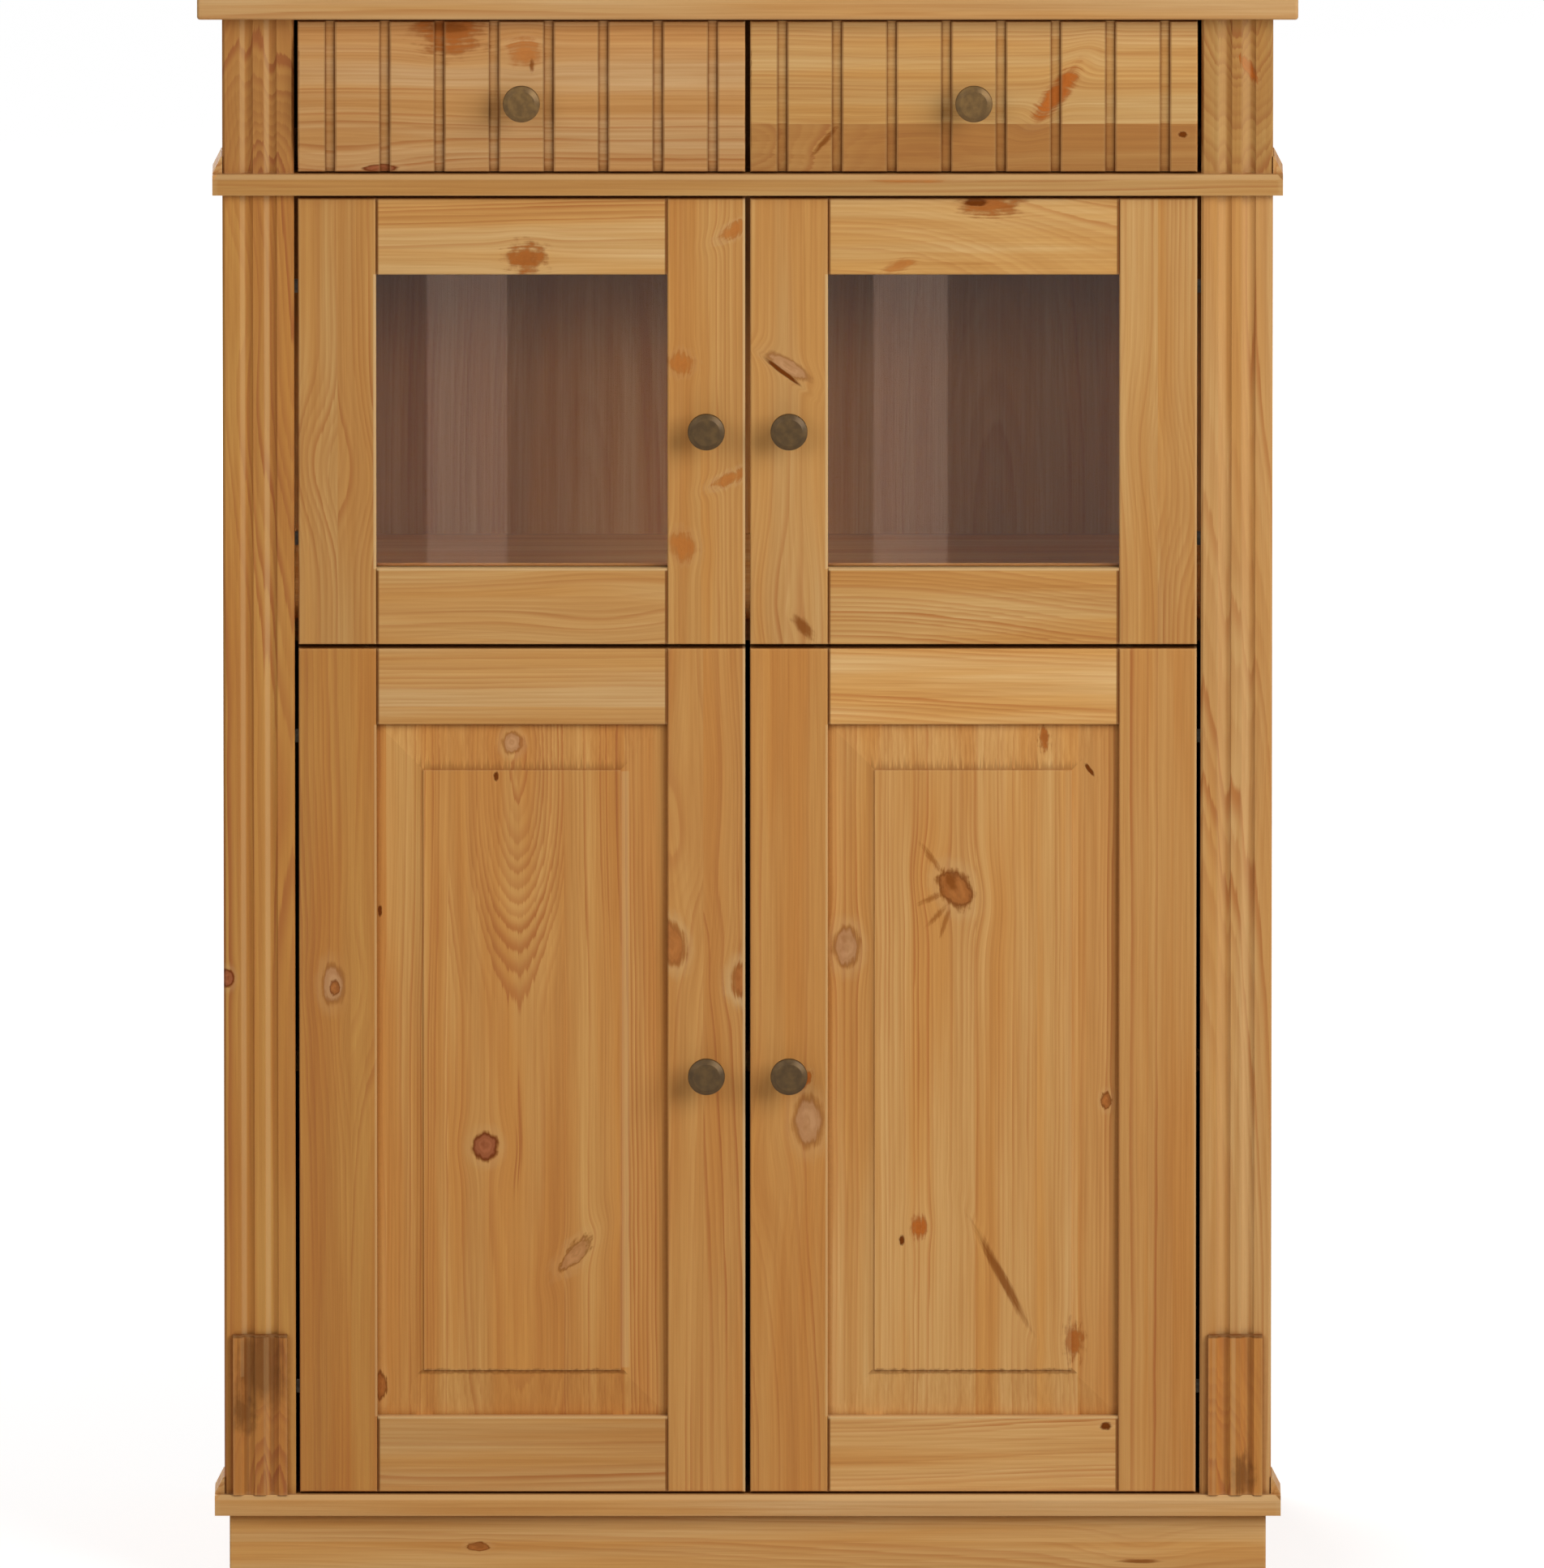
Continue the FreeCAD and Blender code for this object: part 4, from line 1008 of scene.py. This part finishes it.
BOARDS = {
    "top_board": Board(
        "xyz", scaled(PALE, 0.92, 0.91, 0.94), ring=0.0046, heart=-0.32,
        strips=(
            Strip(-0.12, 0.1, 0.93),
            Strip(-0.03, -0.25, 0.98),
            Strip(0.06, 0.3, 0.92),
            Strip(0.14, -0.1, 0.96),
        ),
        knots=(
            knot("red", 0.011, 1.4, x=-0.23, y=0.015, reach=1.8),
            knot("pale", 0.0105, 1.6, x=0.17, y=-0.082, reach=1.8),
            knot("brown", 0.008, 1.7, tilt=15, x=0.315, y=0.1, reach=1.8),
            knot("dark", 0.004, 2.0, x=-0.04, y=0.165),
        ),
    ),
    "left_side_panel": Board(
        "zyx", HONEY, ring=0.0044, heart=-0.3, rise=Rise(0.2, 1.1, 0.09, 0.02),
        strips=(
            Strip(-0.07, 0.2, 1.04),
            Strip(0.0, 0.035, 0.96),
            Strip(0.07, -0.2, 1.02),
            Strip(0.14, 0.4, 0.97),
        ),
        knots=(
            knot("red", 0.009, 1.2, y=0.03, z=0.83, reach=1.8),
            knot("brown", 0.008, 1.4, tilt=20, y=-0.1, z=0.36),
            knot("pale", 0.01, 1.2, y=0.11, z=0.55),
        ),
    ),
    "right_side_panel": Board(
        "zyx", STRAW, ring=0.0044, heart=0.25, rise=Rise(0.1, 0.9, 0.03, 0.09),
        strips=(
            Strip(-0.06, -0.3, 0.97),
            Strip(0.02, 0.055, 1.03),
            Strip(0.09, 0.5, 0.98),
            Strip(0.16, -0.1, 1.02),
        ),
        knots=(
            knot("pale", 0.011, 1.2, y=0.05, z=0.42, reach=1.8),
            knot("red", 0.008, 1.3, y=-0.09, z=0.98),
            knot("dark", 0.005, 1.8, y=0.18, z=0.7),
        ),
    ),
    "left_upper_post": Board(
        "zxy", scaled(RUSSET, 0.98, 0.93, 0.75), ring=0.0036, heart=-0.39,
        rise=Rise(1.16, 1.32, 0.02, 0.06), contrast=1.8, highlights=LEFT_FLUTES,
        knots=(knot("swirl", 0.02, 1.5, x=-0.38, z=1.25),),
    ),
    "right_upper_post": Board(
        "zxy", scaled(AMBER, 0.85, 1, 1.38), ring=0.0036, heart=0.398,
        rise=Rise(1.16, 1.32, 0.07, 0.02), contrast=1.6, highlights=RIGHT_FLUTES,
        knots=(knot("amber", 0.004, 3.0, tilt=30, x=0.405, z=1.262),),
    ),
    "left_lower_post": Board(
        "zxy", scaled(AMBER, 1.04, 1.06, 1.04), ring=0.004, heart=-0.33,
        rise=Rise(0.7, 1.16, 0.09, 0.05), contrast=1.4, highlights=LEFT_FLUTES,
        knots=(
            knot("red", 0.006, 1.3, deep=0.012, x=-0.423, z=0.51),
            knot("eye", 0.02, 2.5, x=-0.41, z=1.08),
            knot("swirl", 0.016, 4.0, x=-0.375, z=0.66),
        ),
    ),
    "right_lower_post": Board(
        "zxy", STRAW, ring=0.004, heart=0.36, rise=Rise(0.3, 1.1, 0.05, 0.1), contrast=1.1,
        highlights=RIGHT_FLUTES, knots=(knot("swirl", 0.02, 5.0, x=0.39, z=0.75),),
    ),
    "base_blocks": Board(
        "zxy", WALNUT, ring=0.0036, heart=-0.39, rise=Rise(0.08, 0.22, 0.02, 0.05), contrast=1.3,
        strips=(Strip(0.0, 0.38, 1.13),),
        joints=(
            Joint("z", 0.2143, 0.95),
            Joint("x", -0.4072, 0.5),
            Joint("x", -0.3862, 0.4),
            Joint("x", 0.3885, 0.3),
            Joint("x", 0.4075, 0.4),
        ),
        highlights=(
            Highlight("x", -0.4105, 0.002, 0.2, "z", 0.18, 0.213),
            Highlight("x", -0.391, 0.003, 0.22, "z", 0.0, 0.213),
            Highlight("x", 0.3785, 0.002, 0.22, "z", 0.0, 0.213),
            Highlight("x", 0.3945, 0.0024, 0.28, "z", 0.0, 0.213),
        ),
        knots=(
            knot("stain", 0.02, 1.6, x=-0.395, z=0.19),
            knot("stain", 0.01, 1.5, x=-0.41, z=0.15),
            knot("stain", 0.008, 2.0, x=0.402, z=0.098),
        ),
    ),
    "bottom_panel": Board(
        "xyz", HONEY, heart=0.35, strips=(Strip(-0.05, -0.2, 1.03), Strip(0.06, 0.4, 0.97)),
    ),
    "drawer_deck": Board(
        "xyz", HONEY, heart=-0.35, strips=(Strip(-0.04, 0.2, 0.97), Strip(0.07, -0.3, 1.02)),
    ),
    "fixed_shelf": Board(
        "xyz", STRAW, heart=0.03, strips=(Strip(-0.03, 0.3, 0.97), Strip(0.08, -0.2, 1.03)),
    ),
    "adjustable_shelf": Board(
        "xyz", STRAW, heart=-0.3, strips=(Strip(-0.02, 0.06, 1.03), Strip(0.1, 0.4, 0.97)),
    ),
    # The back panel gets a painted shadow near the top of the upper compartment.
    "back_panel": Board(
        "zxy", VENEER, ring=0.005, heart=-0.13, rise=Rise(0.8, 1.15, 0.03, 0.06), contrast=0.6,
        backed=0.2045, worn_and_shaded=False, painted_shadow_heights=(0.92, 1.04), strips=(Strip(0.0, 0.2, 1.0),),
    ),
    "base_moulding_front": Board(
        "xzy", scaled(STRAW, 1.03, 1.08, 1.24), ring=0.0036, heart=0.2, contrast=0.9,
        highlights=(Highlight("z", 0.0799, 0.0028, 0.6, "x", -1, 1),),
    ),
    "waist_moulding_front": Board(
        "xzy", scaled(HONEY, 0.87, 1, 1.3), ring=0.0036, heart=1.3, contrast=0.8,
        highlights=(Highlight("z", 1.1739, 0.0028, 0.6, "x", -1, 1),),
        knots=(knot("blush", 0.003, 10.0, x=0.135, z=1.173),),
    ),
    "moulding_returns": Board("yzx", STRAW, ring=0.004, heart=0.5, strips=(Strip(0.5, 1.4, 1.0),)),
    "plinth_front": Board(
        "xzy", scaled(STRAW, 1.08, 1.12, 1.15), ring=0.004, heart=-0.05,
        rise=Rise(-0.4, 0.4, 0.05, 0.09), contrast=0.7, strips=(Strip(0.0408, -0.2, 1.02),),
        knots=(
            knot("brown", 0.004, 2.2, x=-0.2195, z=0.0365),
            knot("eye", 0.014, 2.2, x=0.318, z=0.041),
            knot("crack", 0.0016, 9.0, x=0.318, z=0.0245),
        ),
    ),
    "plinth_frame": Board(
        "yzx", AMBER, ring=0.0042, heart=-0.2, turned=Turn("y", 0.183, 1.0, "xzy"),
    ),
    "drawer_partition": Board("yzx", HONEY, ring=0.0042, heart=1.5),
    "drawer_guides": Board("yzx", STRAW, ring=0.0042, heart=1.4),
    "lower_left_door_outer_stile": Board(
        "zxy", scaled(AMBER, 0.98, 0.92, 0.8), ring=0.0042, heart=-0.55,
        rise=Rise(0.1, 0.8, 0.06, 0.1), strips=(Strip(-0.322, -0.2, 1.05),),
        highlights=(Highlight("x", -0.3013, 0.002, 0.5, "z", 0.146, 0.72),),
        knots=(
            knot("pale", 0.0095, 1.8, x=-0.336, z=0.505, reach=1.8),
            knot("brown", 0.0045, 1.5, x=-0.335, z=0.502),
            knot("eye", 0.018, 3.0, x=-0.306, z=0.49),
        ),
    ),
    "lower_left_door_inner_stile": Board(
        "zxy", scaled(HONEY, 0.98, 0.95, 0.92), ring=0.004, heart=0.1,
        rise=Rise(0.1, 0.8, 0.05, 0.1), strips=(Strip(-0.036, -0.2, 1.03),),
        highlights=(LEFT_MEETING_EDGE,),
        knots=(
            knot("half", 0.011, 1.6, tilt=15, x=-0.062, z=0.539, reach=1.8),
            knot("half", 0.012, 1.3, x=-0.001, z=0.509, reach=1.8),
            knot("eye", 0.016, 2.6, tilt=15, x=-0.047, z=0.613),
            knot("swirl", 0.02, 2.4, x=-0.045, z=0.68),
        ),
    ),
    "lower_left_door_rails": Board(
        "xzy", scaled(STRAW, 0.95, 0.96, 0.98), ring=0.004, heart=0.02,
        strips=(Strip(0.4, 0.9, 1.12), Strip(0.735, 1.3, 1.18)), joints=LEFT_RAIL_ENDS,
        highlights=(LOWER_SILL,),
    ),
    "lower_left_door_panel": Board(
        "zxy", scaled(HONEY, 1.04, 1.05, 1.06), ring=0.0031, heart=-0.42,
        rise=Rise(0.47, 0.7, 0.0433, 0.004), field=Field(-0.2628, -0.103, 0.184, 0.682), corner_shade_and_glaze=0.6,
        strips=(
            Strip(-0.293, -0.52, 1.12),
            Strip(-0.243, -0.187, 1.0),
            Strip(-0.149, 0.1, 1.0),
            Strip(-0.1, 0.3, 0.98),
        ),
        highlights=(Highlight("x", -0.0995, 0.0045, 0.35, "z", 0.186, 0.681),),
        knots=(
            knot("red", 0.0105, 1.15, x=-0.213, z=0.37, reach=1.8),
            knot("pale", 0.008, 1.1, x=-0.191, z=0.704),
            knot("dark", 0.0019, 2.0, x=-0.204, z=0.677),
            knot("ghost", 0.0075, 2.6, tilt=-40, x=-0.139, z=0.282),
            knot("brown", 0.005, 2.4, x=-0.298, z=0.17),
            knot("dark", 0.0017, 2.6, x=-0.2982, z=0.5645),
        ),
    ),
    "lower_right_door_inner_stile": Board(
        "zxy", scaled(HONEY, 1, 0.97, 0.92), ring=0.004, heart=-0.06,
        rise=Rise(0.1, 0.36, 0.03, 0.06), contrast=0.8,
        highlights=(Highlight("x", 0.0645, 0.002, 0.55, "z", 0.146, 0.72),),
        knots=(
            knot("pale", 0.013, 1.6, x=0.049, z=0.391, reach=1.8),
            knot("swirl", 0.016, 2.0, x=0.018, z=0.345),
            knot("amber", 0.004, 2.0, tilt=-40, x=0.046, z=0.425),
        ),
    ),
    "lower_right_door_outer_stile": Board(
        "zxy", scaled(HONEY, 0.97, 0.97, 1.02), ring=0.0042, heart=0.6,
        strips=(Strip(0.325, 0.1, 0.95), Strip(0.345, -0.1, 1.0)), highlights=(RIGHT_HANGING_EDGE,),
    ),
    "lower_right_door_rails": Board(
        "xzy", scaled(STRAW, 1.1, 1.1, 1.06), ring=0.004, heart=0.3,
        rise=Rise(0.0, 0.35, 0.05, 0.08), strips=(Strip(0.4, 0.62, 1.3),), joints=RIGHT_RAIL_ENDS,
        highlights=(LOWER_SILL,), knots=(knot("dark", 0.003, 1.5, x=0.291, z=0.138),),
    ),
    "lower_right_door_panel": Board(
        "zxy", scaled(STRAW, 1.09, 1.06, 0.95), ring=0.0038, heart=-0.2,
        field=Field(0.103, 0.2628, 0.184, 0.682), corner_shade_and_glaze=0.6,
        strips=(
            Strip(0.185, 0.6, 1.0),
            Strip(0.235, 0.75, 0.97),
            # This strip covers the right bevel; its lower tone paints the shade that the right
            # stile casts there.
            Strip(0.268, 0.9, 0.85),
        ),
        highlights=(Highlight("x", 0.26, 0.004, 0.15, "z", 0.186, 0.681),),
        knots=(
            knot("brown", 0.0125, 1.45, tilt=32, x=0.169, z=0.583, reach=1.8),
            knot("crack", 0.004, 1.7, tilt=20, x=0.165, z=0.589, reach=1),
            knot("ray", 0.0021, 5.6, tilt=35, x=0.149, z=0.609),
            knot("ray", 0.0022, 4.2, tilt=-65, x=0.149, z=0.576),
            knot("ray", 0.002, 4.4, tilt=-42, x=0.153, z=0.561),
            knot("ray", 0.0018, 6.0, tilt=-18, x=0.16, z=0.556),
            knot("pale", 0.011, 1.5, x=0.08, z=0.535),
            knot("amber", 0.006, 1.5, x=0.139, z=0.303),
            knot("dark", 0.002, 2.0, x=0.125, z=0.292),
            knot("crack", 0.0032, 12.0, tilt=28, x=0.206, z=0.262),
            knot("patch", 0.0065, 2.0, x=0.265, z=0.208),
            knot("brown", 0.0045, 1.6, x=0.291, z=0.407),
            knot("dark", 0.0017, 3.5, tilt=35, x=0.277, z=0.682),
            knot("patch", 0.004, 2.0, x=0.24, z=0.707),
        ),
    ),
    "upper_left_door_outer_stile": Board(
        "zxy", scaled(HONEY, 0.92, 1.02, 1.24), ring=0.004, heart=-0.5,
        strips=(Strip(-0.332, -0.2, 0.98),), highlights=(BESIDE_PANE,),
        knots=(
            knot("eye", 0.022, 1.6, x=-0.356, z=0.945),
            knot("swirl", 0.02, 1.6, x=-0.318, z=0.92),
        ),
    ),
    "upper_left_door_inner_stile": Board(
        "zxy", scaled(HONEY, 1, 1.05, 1.12), ring=0.004, heart=0.2, contrast=0.6,
        strips=(Strip(-0.038, -0.3, 1.05),), highlights=(LEFT_MEETING_EDGE,),
        knots=(
            knot("blush", 0.009, 0.9, x=-0.054, z=1.019),
            knot("blush", 0.0095, 1.2, tilt=40, x=-0.053, z=0.868),
            knot("blush", 0.0045, 3.2, tilt=-65, x=-0.014, z=0.924),
            knot("blush", 0.005, 2.6, tilt=-60, x=-0.011, z=1.129),
        ),
    ),
    "upper_left_door_rails": Board(
        "xzy", scaled(STRAW, 0.97, 0.96, 0.9), ring=0.004, heart=0.68,
        rise=Rise(-0.3, -0.06, 0.06, 0.03),
        strips=(Strip(0.95, 1.3, 1.32), Strip(1.113, 0.9, 1.24)), joints=LEFT_RAIL_ENDS,
        highlights=(UPPER_SILL,),
        knots=(
            knot("patch", 0.011, 1.2, x=-0.179, z=1.106),
            knot("swirl", 0.02, 2.0, x=-0.12, z=0.82),
        ),
    ),
    "upper_left_door_glazing_beads": Board(
        "xzy", HONEY, ring=0.004, heart=0.7, turned=Turn("z", 0.851, 1.0905, "zxy"),
    ),
    "upper_right_door_inner_stile": Board(
        "zxy", scaled(STRAW, 0.96, 0.94, 0.87), ring=0.004, heart=-0.2,
        highlights=(Highlight("x", 0.0645, 0.0024, 0.9, "z", 0.849, 1.0925),),
        knots=(
            knot("pale", 0.006, 3.4, tilt=58, x=0.033, z=1.016),
            knot("dark", 0.0018, 9.0, tilt=52, x=0.028, z=1.012),
            knot("crack", 0.0045, 2.4, tilt=40, x=0.045, z=0.801),
            knot("swirl", 0.02, 2.0, x=0.03, z=0.82),
        ),
    ),
    "upper_right_door_outer_stile": Board(
        "zxy", scaled(STRAW, 0.95, 0.94, 0.87), ring=0.004, heart=0.1,
        strips=(Strip(0.332, 0.5, 0.98),), highlights=(RIGHT_HANGING_EDGE,),
        knots=(knot("eye", 0.02, 2.6, tilt=20, x=0.345, z=0.915),),
    ),
    "upper_right_door_rails": Board(
        "xzy", scaled(STRAW, 1, 1.02, 0.96), ring=0.004, heart=0.6,
        rise=Rise(0.05, 0.32, 0.02, 0.1), strips=(Strip(0.95, 1.04, 1.15),), joints=RIGHT_RAIL_ENDS,
        highlights=(UPPER_SILL,),
        knots=(
            knot("patch", 0.008, 2.6, x=0.196, z=1.15),
            knot("dark", 0.003, 3.0, x=0.185, z=1.152),
            knot("blush", 0.004, 3.0, tilt=-20, x=0.122, z=1.099),
        ),
    ),
    "upper_right_door_glazing_beads": Board(
        "xzy", HONEY, ring=0.004, heart=0.7, turned=Turn("z", 0.851, 1.0905, "zxy"),
    ),
    "left_drawer_front": Board(
        "xzy", DRAWER, ring=0.0032, heart=1.05, contrast=0.9, grooves=LEFT_GROOVES,
        knots=(
            knot("patch", 0.015, 1.6, x=-0.24, z=1.292),
            knot("crack", 0.004, 4.0, x=-0.243, z=1.296),
            knot("blush", 0.01, 1.2, x=-0.18, z=1.276),
            knot("crack", 0.0018, 2.6, tilt=90, x=-0.1745, z=1.266),
            knot("red", 0.0035, 4.0, x=-0.297, z=1.18),
            knot("swirl", 0.02, 2.5, x=-0.33, z=1.2),
        ),
    ),
    "right_drawer_front": Board(
        "xzy", DARK_DRAWER, ring=0.0032, heart=1.195, rise=Rise(0.0, 0.12, 0.02, 0.05),
        grooves=RIGHT_GROOVES, strips=(Strip(1.218, 0.9, 1.64),),
        knots=(
            knot("amber", 0.0072, 3.4, tilt=-53, x=0.25, z=1.243),
            knot("eye", 0.014, 2.2, x=0.051, z=1.199),
            knot("crack", 0.002, 7.0, tilt=-50, x=0.062, z=1.203),
            knot("swirl", 0.014, 2.0, x=0.14, z=1.195),
            knot("dark", 0.0025, 1.4, x=0.352, z=1.209),
        ),
    ),
    "left_drawer_box": Board(
        "yzx", STRAW, ring=0.0042, heart=1.0, turned=Turn("y", 0.147, 1.0, "xzy"),
    ),
    "right_drawer_box": Board(
        "yzx", STRAW, ring=0.0042, heart=1.45, turned=Turn("y", 0.147, 1.0, "xzy"),
    ),
    "left_drawer_bottom": Board("xyz", VENEER, ring=0.005, heart=0.4, contrast=0.6),
    "right_drawer_bottom": Board("xyz", VENEER, ring=0.005, heart=-0.4, contrast=0.6),
}


def dress():
    """Gives each node its material: wood by its board, the drawers' knobs a paler copy of the
    bronze that paints light on them, the rest by its slot, where the door knobs get a darker copy
    that paints shade."""
    materials = {
        "bronze": bronze("shaded_door_bronze", DOOR_KNOB_SHADED),
        "zinc": zinc(),
        "glass": glass(),
    }
    lit_drawer_bronze = bronze("lit_drawer_bronze", DRAWER_KNOB_LIT)
    for node, piece in NODES.items():
        slot = piece.material_slots[0]
        if node in BOARDS:
            board = BOARDS[node]
            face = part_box(node)[0]["xyz".index(board.axes[2])]
            slot.material = pine("pine_" + node, board, face)
        elif node.endswith("_drawer_knob"):
            slot.material = lit_drawer_bronze
        else:
            slot.material = materials[slot.material.name]


make_camera()
make_floor()
make_world()
light_the_stage()
dress()
